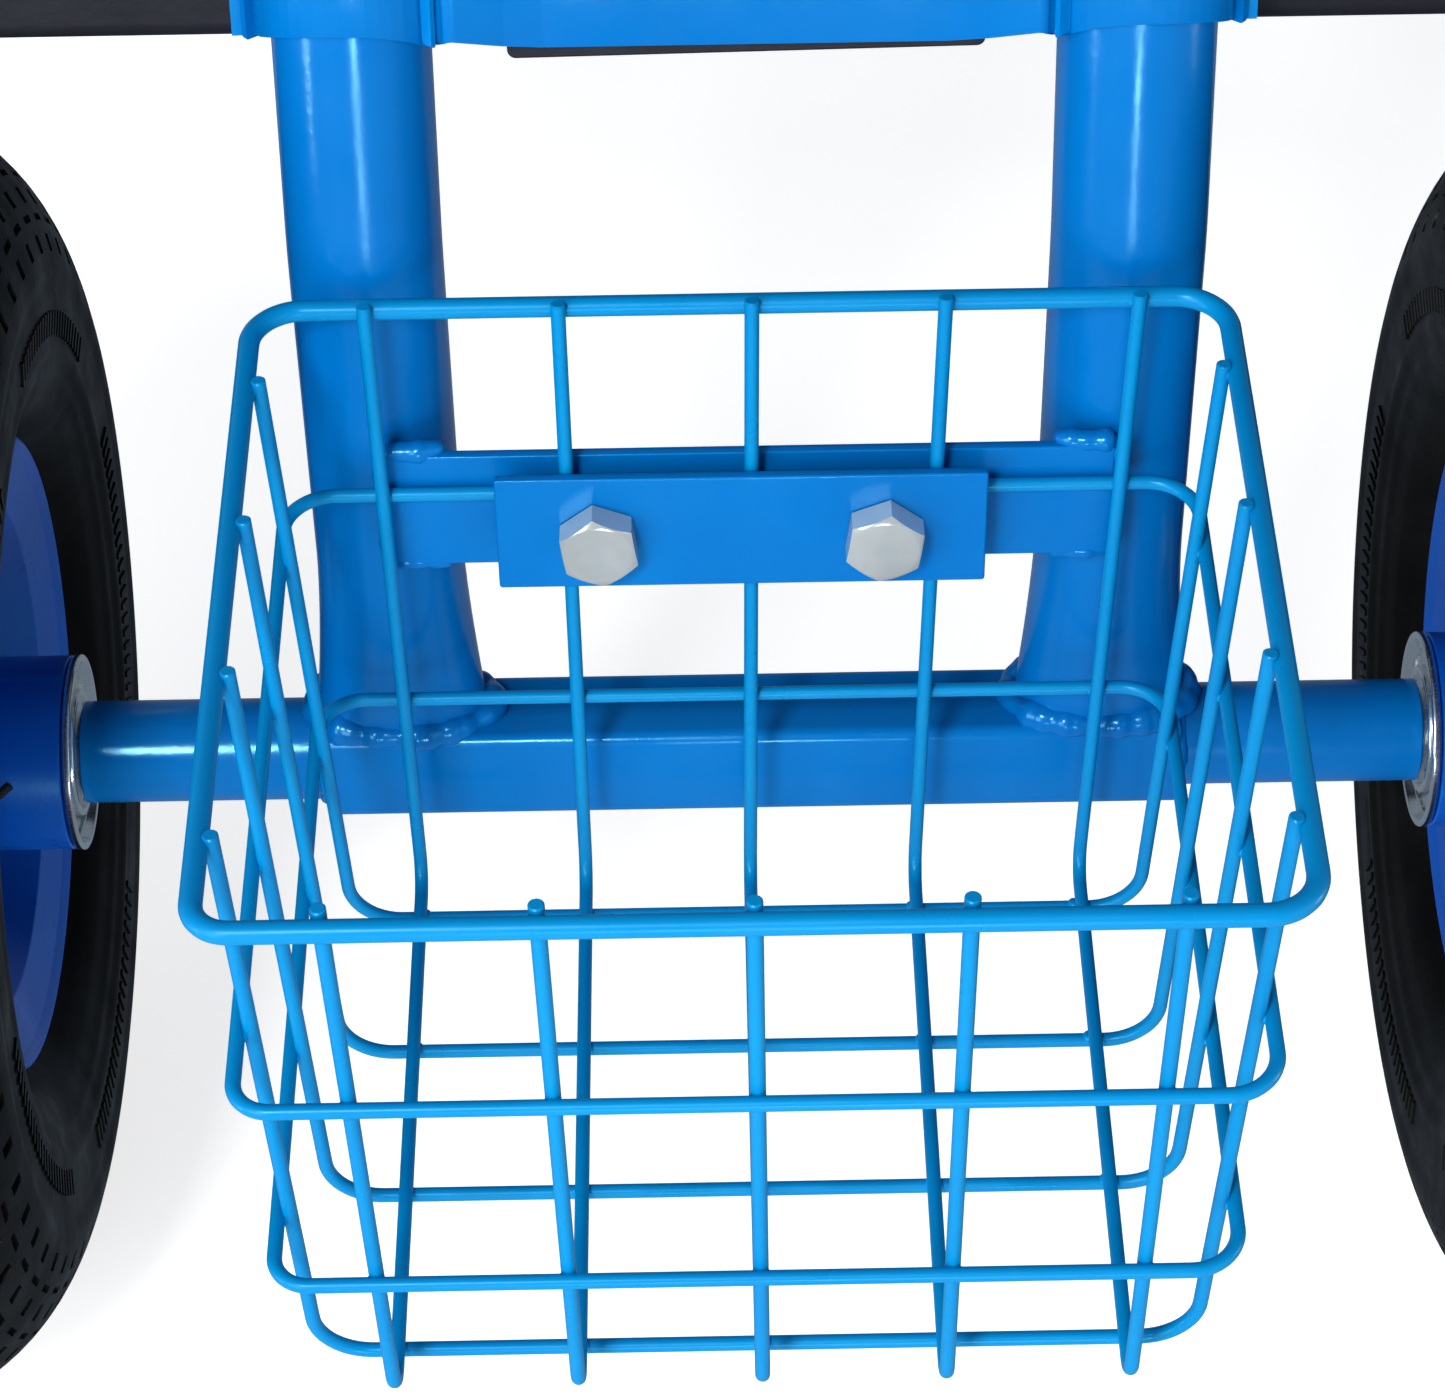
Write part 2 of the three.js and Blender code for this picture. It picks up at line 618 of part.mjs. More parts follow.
function saddleSet(prefix, frame) {
  place(frame, `${prefix}_saddle`, saddlePlate(), frameBlue);

  const backing = cut(block(82, backingThickness, 38.5, v3(0, backingFront + backingThickness / 2, -1)),
    [-1, 1].map((s) => bar(4.8, 30, "y", v3(s * saddleBoltX, 0, 0), 12)));
  const backingTwist = 0.7 * DEG;
  place(frame, `${prefix}_backing_plate`, backing, frameBlack).rotation.y = -backingTwist;

  const barCentre = v3(0, barFront + barDepth / 2, -3);
  const crossBar = squareTube(barHeight, barDepth, 2 * (sidePlateX - sidePlateThickness / 2 - GAP), 2);
  crossBar.translate(barCentre.x, barCentre.y, barCentre.z);
  place(frame, `${prefix}_cross_bar`,
    cut(crossBar, [-1, 1].map((s) => bar(4.4, 60, "y", v3(s * saddleBoltX, barCentre.y, 0), 12))), frameBlack);

  for (const [name, side] of SIDES) {
    const bolt = boltAndNut({ flats: 13, shank: 4, grip: recess + barFront + barDepth + 2 * GAP });
    bolt.translate(side * saddleBoltX, -recess - GAP, 0);
    place(frame, `${prefix}_saddle_bolt_${name}`, bolt, zinc);
  }
  return barCentre;
}

const lowerSaddleReach = 56;
const lowerSaddle = alongLean(knee, kneeLean, lowerSaddleReach);
saddleSet("lower", leaningFrame(lowerSaddle.y, lowerSaddle.z, kneeLean));
const upperSaddleReach = 355;
const upperSaddle = alongLean(shoulder, shoulderLean, upperSaddleReach);
saddleSet("upper", leaningFrame(upperSaddle.y, upperSaddle.z, shoulderLean));

// ---------------------------------------------------------------- reel side plates and stand
const behind = (start, lean, y, z) =>
  v3(0, start.y + Math.cos(lean) * y + Math.sin(lean) * z, start.z - Math.sin(lean) * y + Math.cos(lean) * z);
const lowerBarAt = behind(lowerSaddle, kneeLean, barFront + barDepth / 2, -3);
const upperBarAt = behind(upperSaddle, shoulderLean, barFront + barDepth / 2, -3);
const standTop = v3(0, standFootY - 12, 292);
const drumCentre = v3(0, drumY, drumHeight);

// A three-armed plate: one arm to each cross bar and one to the stand, meeting at the shaft.
function sidePlate() {
  const armWidth = 23;
  const arm = (end) => {
    const dy = end.y - drumCentre.y;
    const dz = end.z - drumCentre.z;
    const length = Math.hypot(dy, dz);
    const geometry = block(sidePlateThickness, 2 * armWidth, length, v3(0, 0, length / 2));
    const tip = bar(armWidth, sidePlateThickness, "x", v3(0, 0, length), 14);
    return [geometry, tip].map((g) => g.rotateX(-Math.atan2(dy, dz)).translate(0, drumCentre.y, drumCentre.z));
  };
  const hub = bar(38, sidePlateThickness, "x", drumCentre, 20);
  const arms = [lowerBarAt, upperBarAt, standTop].flatMap(arm);
  const bore = bar(14 + GAP, 20, "x", drumCentre, 20);
  return cut(join([hub, ...arms]), [bore]);
}

for (const [name, side] of SIDES) {
  place(cart, `side_plate_${name}`, sidePlate().translate(side * sidePlateX, 0, 0), frameBlack);
  const flange = side * (sidePlateX + sidePlateThickness / 2 + GAP);
  const inward = -side;
  const bushSides = 16;
  const bore = boreFor(shaftRadius, bushSides);
  const bush = [
    [flange + side * 3, bore], [flange + side * 3, 19], [flange, 19], [flange, 14],
    [flange + inward * 9, 14], [flange + inward * 9, bore],
  ];
  place(cart, `shaft_bush_${name}`,
    turned(bush, bushSides).translate(0, drumCentre.y, drumCentre.z), blackPlastic);
}

const standX = sidePlateX - sidePlateThickness / 2 - standTubeRadius - GAP;
const footRise = 6;
const standWall = 1.8;
function standTube() {
  const bottom = standTubeRadius + footRise;
  const top = standTop.z + 14;
  const bent = (radius, sides, overrun) => {
    const corners = [
      v3(-standX, 0, top + overrun), v3(-standX, 0, bottom),
      v3(standX, 0, bottom), v3(standX, 0, top + overrun),
    ];
    return wire(roundedPath(corners, 45, 5), Y_AXIS, radius, sides);
  };
  const tilt = Math.atan2(standFootY - standTop.y, standTop.z - bottom);
  return cut(bent(standTubeRadius, 10, 0), [bent(standTubeRadius - standWall, 8, 2)])
    .translate(0, 0, -bottom).rotateX(tilt).translate(0, standFootY, bottom);
}
place(cart, "rear_stand", standTube(), frameBlack);

for (const [name, side] of SIDES) {
  const centre = v3(side * 70, standFootY, standTubeRadius + footRise);
  const pad = cut(block(34, 2 * standTubeRadius + 8, standTubeRadius + footRise,
    v3(centre.x, centre.y, (standTubeRadius + footRise) / 2)),
    [bar(standTubeRadius + GAP, 60, "x", centre, 20)]);
  place(cart, `rubber_foot_${name}`, pad, rubber);
}

// ---------------------------------------------------------------- hose drum
const reel = new THREE.Group();
reel.position.copy(drumCentre);
cart.add(reel);

const flangeSheet = 1.6;
const drumWall = 2;
const outletX = -84;
const coreHalfLength = drumFlangeX - flangeSheet / 2 - GAP;
const outletHole = bar(11.5, 30, "z", v3(outletX, 0, drumRadius), 16);
place(reel, "drum_core", cut(turned([
  [-coreHalfLength, drumRadius], [coreHalfLength, drumRadius],
  [coreHalfLength, drumRadius - drumWall], [-coreHalfLength, drumRadius - drumWall]], 28), [outletHole]), frameBlack);

function drumFlange(side) {
  const half = flangeSheet / 2;
  const lip = 3.5;
  const disc = turned([
    [-9, 17], [-half, 17], [-half, drumFlangeRadius - lip], [-lip, drumFlangeRadius],
    [0, drumFlangeRadius + lip], [lip, drumFlangeRadius], [half, drumFlangeRadius - lip],
    [half, 17], [9, 17], [9, shaftRadius + GAP], [-9, shaftRadius + GAP]], 28);
  const windows = 6;
  const cutters = Array.from({ length: windows }, (_, i) => {
    const angle = ((i + 0.5) * 2 * Math.PI) / windows;
    return bar(27, 12, "x", v3(0, 118 * Math.cos(angle), 118 * Math.sin(angle)), 12);
  });
  return cut(disc, cutters).translate(side * drumFlangeX, 0, 0);
}

for (const [name, side] of SIDES) {
  place(reel, `drum_flange_${name}`, drumFlange(side), frameBlack);
}

const shaftLeft = -(sidePlateX + 14);
const shaftRight = sidePlateX + 24;
place(reel, "reel_shaft", turned([
  [shaftLeft, shaftRadius], [shaftRight, shaftRadius], [shaftRight, 6.5], [shaftLeft, 6.5]], 20), zinc);

// Threaded outlet that feeds the hose: a stub through the drum's skin, on a pipe from the shaft.
place(reel, "hose_outlet", join([
  bar(10.8, 42, "z", v3(outletX, 0, drumRadius + 5), 16),
  new THREE.CylinderGeometry(15, 15, 8, 6).rotateX(Math.PI / 2).translate(outletX, 0, drumRadius + 5),
  bar(6, drumRadius - shaftRadius - GAP, "z", v3(outletX, 0, (drumRadius + shaftRadius + GAP) / 2), 10),
]), brass);

// ---------------------------------------------------------------- crank
// At rest the crank hangs down from the shaft's right end.
const crankReach = 125;
const crankX = sidePlateX + 17;
const crankThickness = 5;
const crankArm = cut(join([
  block(crankThickness, 24, crankReach, v3(crankX, 0, -crankReach / 2)),
  bar(12, crankThickness, "x", v3(crankX, 0, -crankReach), 20),
  bar(18, crankThickness + 5, "x", v3(crankX + 1, 0, 0), 24),
]), [bar(shaftRadius + GAP, 20, "x", v3(crankX, 0, 0), 20), bar(4.4, 20, "x", v3(crankX, 0, -crankReach), 12)]);
place(reel, "crank_arm", crankArm, frameBlack);

const gripStart = crankX + crankThickness / 2 + 1;
const gripLength = 88;
const pin = boltAndNut({ flats: 13, shank: 4, grip: crankThickness + 2 * GAP + gripLength + 1.5 });
pin.rotateZ(-Math.PI / 2).translate(crankX - crankThickness / 2 - GAP, 0, -crankReach);
place(reel, "crank_pin", pin, zinc);

const gripProfile = [
  [0, 4.3], [0, 14.5], [5, 15.5], [20, 13], [60, 14.5], [78, 15.5], [gripLength, 12], [gripLength, 4.3],
].map(([x, r]) => [gripStart + x, r]);
place(reel, "crank_grip", turned(gripProfile, 14).translate(0, 0, -crankReach), blackPlastic);

// ---------------------------------------------------------------- water inlet
// The elbow turns on the shaft's left end and hangs with its hose coupling down.
const elbowX = shaftLeft - 17;
const inletBody = join([
  bar(14.5, 22, "x", v3(shaftLeft - 3, 0, 0), 20),
  new THREE.SphereGeometry(13.5, 10, 6).translate(elbowX, 0, 0),
  bar(11.5, 26, "z", v3(elbowX, 0, -16), 16),
]);
const socket = bar(boreFor(shaftRadius, 20), 14.4, "x", v3(shaftLeft + 6.9, 0, 0), 20);
place(reel, "inlet_elbow", cut(inletBody, [socket]), brass);
const coupling = cut(bar(16, 24, "z", v3(elbowX, 0, -41.5), 12), [bar(12.5, 20, "z", v3(elbowX, 0, -45), 16)]);
place(reel, "inlet_coupling", coupling, brass);

// ---------------------------------------------------------------- origin
// The origin is on the ground, at the centre of the cart's footprint.
const bounds = new THREE.Box3().setFromObject(cart);
const centre = bounds.getCenter(v3(0, 0, 0));
cart.position.set(-centre.x, -centre.y, -bounds.min.z);
cart.updateMatrixWorld(true);

export default cart;
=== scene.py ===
"""Looks of the garden hose reel cart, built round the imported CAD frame.

Shapes are made in millimetres with the origin at the middle of the wheel axle, X across,
-Y towards the basket and Z up. Only the mesh builder turns them into the row's metres.
"""

import math

import bpy
import numpy as np
from mathutils import Matrix, Vector


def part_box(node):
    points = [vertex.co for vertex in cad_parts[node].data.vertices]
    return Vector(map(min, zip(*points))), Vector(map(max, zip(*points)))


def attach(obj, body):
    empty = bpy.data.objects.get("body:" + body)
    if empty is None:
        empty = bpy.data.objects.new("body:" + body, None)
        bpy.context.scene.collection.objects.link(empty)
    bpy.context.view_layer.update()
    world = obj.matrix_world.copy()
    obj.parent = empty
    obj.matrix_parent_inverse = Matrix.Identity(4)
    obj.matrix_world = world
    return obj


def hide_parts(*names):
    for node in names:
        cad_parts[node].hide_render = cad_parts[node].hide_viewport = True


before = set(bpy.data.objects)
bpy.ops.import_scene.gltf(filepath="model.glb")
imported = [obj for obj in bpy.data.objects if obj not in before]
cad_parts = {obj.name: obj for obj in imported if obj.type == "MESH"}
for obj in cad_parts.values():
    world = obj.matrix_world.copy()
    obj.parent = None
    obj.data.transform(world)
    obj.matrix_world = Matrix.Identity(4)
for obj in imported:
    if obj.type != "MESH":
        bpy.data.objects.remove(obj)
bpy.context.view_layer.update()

low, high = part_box("axle_crossbar")
AXLE = np.array((low + high) / 2)
GROUND = -AXLE[2] * 1000

for leftover in [o for o in bpy.data.objects if o.type in {"LIGHT", "CAMERA"}]:
    bpy.data.objects.remove(leftover)

# ---- driving dimensions
GAP = 0.3
WHEEL_RADIUS = 128.0
WHEEL_X = 171.5
TYRE_HALF_WIDTH = 39.0
TYRE_HEIGHT = 41.0
RIM_FLANGE_RADIUS = 62.4
RIM_SEAT_RADIUS = RIM_FLANGE_RADIUS - 11
HUB_RADIUS = 19.0
HUB_HALF = 39.0
AXLE_ROD_RADIUS = 8.0
AXLE_ROD_HALF = 231.0

TUBE_RADIUS = 13.75
TUBE_X = 67.5
KNEE_Z = 119.0
KNEE_LEAN = math.radians(10.8)
SHOULDER_Z = 217.0
SHOULDER_LEAN = math.radians(38)
TUBE_REACH = 430.0
BAR_SIDE = 20.0
BAR_HALF = 83.0
SLEEVE_RADIUS = 10.0

RIM_WIRE = 1.85
WIRE = 1.3
WELD = 0.5
WIRE_PLANE_Y = -21.5
BASKET_FLOOR = -15.0
BASKET_FOOT_Y = -148.8
RIM_BACK_Z = 118.0
RIM_FRONT_Z = 110.5
RIM_FRONT_Y = -164.9
BASKET_X = -1.7                       # the basket hangs a little off the cart's middle
RIM_HALF_WIDTH = 84.3
RIM_TAPER = 0.8
FLOOR_HALF_WIDTH = 75.6
# Pitch and sideways drift of the lengthwise wires at each of their bends.
BACK_TOP = (33.5, 2.2)
BACK_FLOOR = (31.9, 1.1)
FRONT_FLOOR = (31.3, 0.8)
FRONT_TOP = (32.1, -0.2)

DRUM_RADIUS = 70.0
FLANGE_RADIUS = 165.0
FLANGE_X = 118.0
DRUM = np.array([0, 259.0, 336.0 + GROUND])
PLATE_X = 140.0
PLATE_THICKNESS = 4.0
SHAFT_RADIUS = 10.0
STAND_Y = 492.0
STAND_RADIUS = 11.0

# M8 bolts: across the head's flats, shank radius, head height and thread past the nut.
BOLT_FLATS = 13.0
BOLT_RADIUS = 4.0
BOLT_HEAD = 5.3
BOLT_TAIL = 3.0
BOLT_HOLE_RADIUS = 4.4
WASHER_RADIUS = 8.5

SIDES = (("left", -1), ("right", 1))


# ---- shapes
# A shape is (points, faces). Points are an array of millimetres.
def merged(shapes):
    points, faces, start = [], [], 0
    for p, f in shapes:
        points.append(np.asarray(p, float))
        faces.extend([tuple(i + start for i in face) for face in f])
        start += len(p)
    return np.vstack(points), faces


def moved(shape, x=0.0, y=0.0, z=0.0):
    return np.asarray(shape[0]) + (x, y, z), shape[1]


def spun(shape, axis, degrees):
    turn = np.array(Matrix.Rotation(math.radians(degrees), 3, axis))
    return np.asarray(shape[0]) @ turn.T, shape[1]


def flipped(shape):
    """Mirror image across the middle plane."""
    return np.asarray(shape[0]) * (-1, 1, 1), [face[::-1] for face in shape[1]]


def on_side(shape, side):
    """The shape itself on the right, its mirror image on the left."""
    return shape if side > 0 else flipped(shape)


def unit(v):
    return v / np.maximum(np.linalg.norm(v, axis=-1, keepdims=True), 1e-9)


def rounded(corners, radius, closed=False, step=8.0):
    """A polyline with its corners turned into arcs; radius is one number or one per corner."""
    corners = [np.asarray(c, float) for c in corners]
    count = len(corners)
    radii = radius if isinstance(radius, (list, tuple)) else [radius] * count
    path = []
    for i, corner in enumerate(corners):
        if not closed and i in (0, count - 1):
            path.append(corner)
            continue
        before = unit(corners[i - 1] - corner)
        after = unit(corners[(i + 1) % count] - corner)
        half = math.acos(np.clip(before @ after, -1, 1)) / 2
        if half > math.pi / 2 - 1e-3 or radii[i] <= 0:
            path.append(corner)
            continue
        centre = corner + unit(before + after) * radii[i] / math.sin(half)
        start = corner + before * radii[i] / math.tan(half) - centre
        end = corner + after * radii[i] / math.tan(half) - centre
        sweep_angle = math.pi - 2 * half
        steps = max(2, math.ceil(math.degrees(sweep_angle) / step))
        for k in range(steps + 1):
            t = k / steps
            a = math.sin((1 - t) * sweep_angle) / math.sin(sweep_angle)
            b = math.sin(t * sweep_angle) / math.sin(sweep_angle)
            path.append(centre + a * start + b * end)
    return np.array(path)


def frames_along(path, closed, normal):
    """Tangent, side and up directions at each point, without twist."""
    if closed:
        tangent = unit(np.roll(path, -1, 0) - np.roll(path, 1, 0))
    else:
        tangent = unit(np.gradient(path, axis=0))
    side = np.array(normal, float) if normal is not None else np.cross(tangent[0], (0.31, 0.87, 0.38))
    sides = []
    for t in tangent:
        side = unit(side - t * (side @ t))
        sides.append(side)
    sides = np.array(sides)
    return tangent, sides, np.cross(tangent, sides)


def skin(path, radii, sides, closed, normal):
    """Rings of points round a path. radii has one (along normal, across it) pair per point."""
    _, side, up = frames_along(path, closed, normal)
    angle = np.linspace(0, 2 * math.pi, sides, endpoint=False)
    ring = np.cos(angle)[None, :, None] * (side * radii[:, :1])[:, None]
    ring = ring + np.sin(angle)[None, :, None] * (up * radii[:, 1:])[:, None]
    return (path[:, None] + ring).reshape(-1, 3)


def strip_faces(rings, sides, closed, inward=False):
    faces = []
    for i in range(rings if closed else rings - 1):
        j = (i + 1) % rings
        for k in range(sides):
            m = (k + 1) % sides
            face = (i * sides + k, i * sides + m, j * sides + m, j * sides + k)
            faces.append(face if inward else face[::-1])
    return faces


def capped(rings, sides, inward=False):
    """Faces between rings of points, with a cap on the first ring and on the last."""
    first = tuple(range(sides))
    last = tuple(range((rings - 1) * sides, rings * sides))
    caps = [first[::-1], last] if inward else [first, last[::-1]]
    return strip_faces(rings, sides, False, inward) + caps


def pairs(radius, count):
    radius = np.asarray(radius, float)
    if radius.ndim == 0:
        return np.full((count, 2), float(radius))
    if radius.ndim == 1:
        return np.repeat(radius[:, None], 2, 1)
    return radius.copy()


def chamfered(path, radii, chamfer):
    """Narrows the two ends of a path by a short chamfer."""
    first, last = unit(path[1] - path[0]), unit(path[-1] - path[-2])
    path = np.vstack([path[:1], path[0] + first * chamfer, path[1:-1], path[-1] - last * chamfer, path[-1:]])
    radii = np.vstack([radii[:1] - chamfer, radii[:1], radii[1:-1], radii[-1:], radii[-1:] - chamfer])
    return path, radii


def rod(path, radius, sides=24, closed=False, normal=None, chamfer=0.25):
    """A solid round or oval bar along a path, with chamfered ends."""
    path = np.asarray(path, float)
    radii = pairs(radius, len(path))
    if closed:
        return skin(path, radii, sides, True, normal), strip_faces(len(path), sides, True)
    path, radii = chamfered(path, radii, chamfer)
    return skin(path, radii, sides, False, normal), capped(len(path), sides)


def pipe(path, radius, wall, sides=40, normal=None, chamfer=0.3):
    """A tube with open ends: outer skin, inner skin and a rounded lip at each end."""
    path = np.asarray(path, float)
    path, radii = chamfered(path, pairs(radius, len(path)), chamfer)
    inner = radii - wall
    inner[0] += chamfer
    inner[-1] += chamfer
    count = len(path)
    points = np.vstack([skin(path, radii, sides, False, normal), skin(path, inner, sides, False, normal)])
    faces = strip_faces(count, sides, False)
    faces += [tuple(i + count * sides for i in f) for f in strip_faces(count, sides, False, True)]
    for ring, flip in ((0, False), (count - 1, True)):
        for k in range(sides):
            a, b = ring * sides + k, ring * sides + (k + 1) % sides
            face = (a, b, b + count * sides, a + count * sides)
            faces.append(face[::-1] if flip else face)
    return points, faces


def lathe(profile, segments=64, closed=True, angle=None):
    """A body of revolution about X from [x, radius] pairs; one profile, or one for each angle."""
    if angle is None:
        angle = np.linspace(0, 2 * math.pi, segments, endpoint=False)
    segments = len(angle)
    profiles = np.broadcast_to(np.asarray(profile, float), (segments, *np.shape(profile)[-2:]))
    x, r = profiles[0, :, 0], profiles[0, :, 1]
    area = np.sum(x * np.roll(r, -1) - np.roll(x, -1) * r) / 2
    if area < 0:
        profiles = profiles[:, ::-1]
    turn = angle[:, None]
    x, r = profiles[:, :, 0], profiles[:, :, 1]
    points = np.stack([x, r * np.sin(turn), r * np.cos(turn)], 2).reshape(-1, 3)
    count = profiles.shape[1]
    faces = []
    for i in range(segments):
        j = (i + 1) % segments
        for k in range(count if closed else count - 1):
            m = (k + 1) % count
            faces.append((i * count + k, j * count + k, j * count + m, i * count + m))
    if not closed:
        faces.append(tuple(i * count for i in reversed(range(segments))))
        faces.append(tuple(i * count + count - 1 for i in range(segments)))
    return points, faces


def soft(profile, radius, step=30.0, closed=True):
    return rounded([np.array(p, float) for p in profile], radius, closed, step)


def circle(radius, centre=(0, 0), count=48):
    angle = np.linspace(0, 2 * math.pi, count, endpoint=False)
    return [(centre[0] + radius * math.cos(a), centre[1] + radius * math.sin(a)) for a in angle]


def rectangle(width, height, radius, step=15.0):
    x, y = width / 2, height / 2
    return [tuple(p) for p in rounded([(-x, -y), (x, -y), (x, y), (-x, y)], radius, True, step)]


def plate(outline, thickness, bevel=0.4, holes=()):
    """A flat plate in XY, centred in Z, with rounded edges all round and round its holes."""
    curve = bpy.data.curves.new("outline", "CURVE")
    curve.dimensions = "2D"
    curve.fill_mode = "BOTH"
    curve.extrude = thickness / 2 - bevel
    curve.bevel_depth = bevel
    curve.bevel_resolution = 2
    curve.offset = -bevel
    for loop in (outline, *holes):
        spline = curve.splines.new("POLY")
        spline.points.add(len(loop) - 1)
        for point, (x, y) in zip(spline.points, loop):
            point.co = (x, y, 0, 1)
        spline.use_cyclic_u = True
    holder = bpy.data.objects.new("outline", curve)
    mesh = bpy.data.meshes.new_from_object(holder)
    points = np.zeros(len(mesh.vertices) * 3)
    mesh.vertices.foreach_get("co", points)
    faces = [tuple(p.vertices) for p in mesh.polygons]
    bpy.data.objects.remove(holder)
    bpy.data.curves.remove(curve)
    bpy.data.meshes.remove(mesh)
    return points.reshape(-1, 3), faces


def across(shape):
    """Stands a plate up so that its thickness runs along X: its x and y become Y and Z."""
    p = np.asarray(shape[0])
    return p[:, [2, 0, 1]], shape[1]


def facing_front(shape):
    """Stands a plate up so that its thickness runs along Y: its x and y become X and Z."""
    return spun(shape, "X", 90)


def bead(path, size, closed=False, pitch=2.6, seed=0.0):
    """A weld bead: a lumpy rod whose ripples follow each other along the seam."""
    path = np.asarray(path, float)
    length = np.concatenate([[0], np.cumsum(np.linalg.norm(np.diff(path, axis=0), axis=1))])
    count = max(8, int(length[-1] / 0.55))
    s = np.linspace(0, length[-1], count, endpoint=not closed)
    line = np.column_stack([np.interp(s, length, path[:, k]) for k in range(3)])
    ripple = 0.9 + 0.1 * np.abs(np.sin(math.pi * s / pitch + seed))
    wander = 1 + 0.15 * np.sin(s * 0.37 + seed * 3) + 0.11 * np.sin(s * 0.83 + seed * 7)
    radius = size * ripple * wander
    if not closed:
        radius *= np.clip(np.minimum(s, length[-1] - s) / size + 0.35, 0, 1) ** 0.5
    return rod(line, radius, 14, closed, chamfer=0.3 * size)


def hexagon_radius(flats, angle):
    return flats / 2 / np.cos((angle + math.pi / 6) % (math.pi / 3) - math.pi / 6)


def hex_body(flats, height, bore=0.0, both=False):
    """A hexagonal head or nut along +Z from z = 0, chamfered as a turned one is."""
    angle = np.linspace(0, 2 * math.pi, 60, endpoint=False)
    edge = hexagon_radius(flats, angle)
    turned = flats / 2 * 0.97
    drop = (edge - turned) * math.tan(math.radians(30))
    even = np.ones(len(angle))
    levels = [(edge, drop if both else 0 * even), (edge, height - drop), (turned * even, height * even)]
    if both:
        levels.insert(0, (turned * even, 0 * even))
    if bore:
        levels.append(((bore + 0.7) * even, height * even))
        levels.append((bore * even, (height - 0.7) * even))
        levels.append((bore * even, 0 * even))
    else:
        levels.append((turned * 0.93 * even, (height + 0.12) * even))
    points = np.vstack([np.column_stack([r * np.cos(angle), r * np.sin(angle), z]) for r, z in levels])
    count = len(angle)
    if bore:
        return points, strip_faces(len(levels), count, True, True)
    return points, capped(len(levels), count, True)


def threaded(radius, length, pitch=1.25, plain=0.0):
    """A threaded stud along +Z from z = 0, its first stretch plain and its end chamfered."""
    steps = int((length - plain) / pitch * 2)
    profile = [(0, radius), (plain, radius)] if plain else [(0, radius)]
    for i in range(1, steps):
        profile.append((plain + i * pitch / 2, radius - (pitch * 0.5 if i % 2 else 0)))
    profile.append((length, radius - pitch * 0.7))
    return spun(lathe([(0, 0.4), *profile, (length, 0.4)], 28, closed=False), "Y", -90)


def bolt_set(flats, shank, grip, tail, head_height=None, washer=None):
    """A hexagon bolt along +Y with its head at the front, and its nut at y = grip."""
    head_height = head_height or shank * 1.3
    nut_height = shank * 1.6
    head = spun(hex_body(flats, head_height), "X", 90)
    stud = spun(threaded(shank, grip + nut_height + tail, plain=grip * 0.7), "X", -90)
    nut = moved(spun(hex_body(flats, nut_height, shank, True), "X", -90), y=grip)
    parts = [head, stud, nut]
    if washer:
        disc = soft([(0, shank + 0.2), (1.4, shank + 0.2), (1.4, washer), (0, washer)], 0.35)
        parts.append(moved(spun(lathe(disc, 48), "Z", 90), y=grip - 1.4))
    return merged(parts)


# ---- pieces
SHARP_EDGE = math.radians(38)


def piece(name, shape, material, body="frame", node=None):
    """Puts a shape into the scene as one object that rides on a body and may replace a CAD node."""
    points, faces = shape
    mesh = bpy.data.meshes.new(name)
    mesh.from_pydata((np.asarray(points) * 0.001 + AXLE).tolist(), [], faces)
    mesh.validate()
    mesh.polygons.foreach_set("use_smooth", [True] * len(mesh.polygons))
    mesh.set_sharp_from_angle(angle=SHARP_EDGE)
    mesh.materials.append(material)
    obj = bpy.data.objects.new(name, mesh)
    bpy.context.scene.collection.objects.link(obj)
    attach(obj, body)
    if node:
        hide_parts(node)


def stand_in(node, suffix, shape, material, body="frame"):
    """A piece named after the CAD node that it replaces."""
    piece(f"{node}_{suffix}", shape, material, body, node)


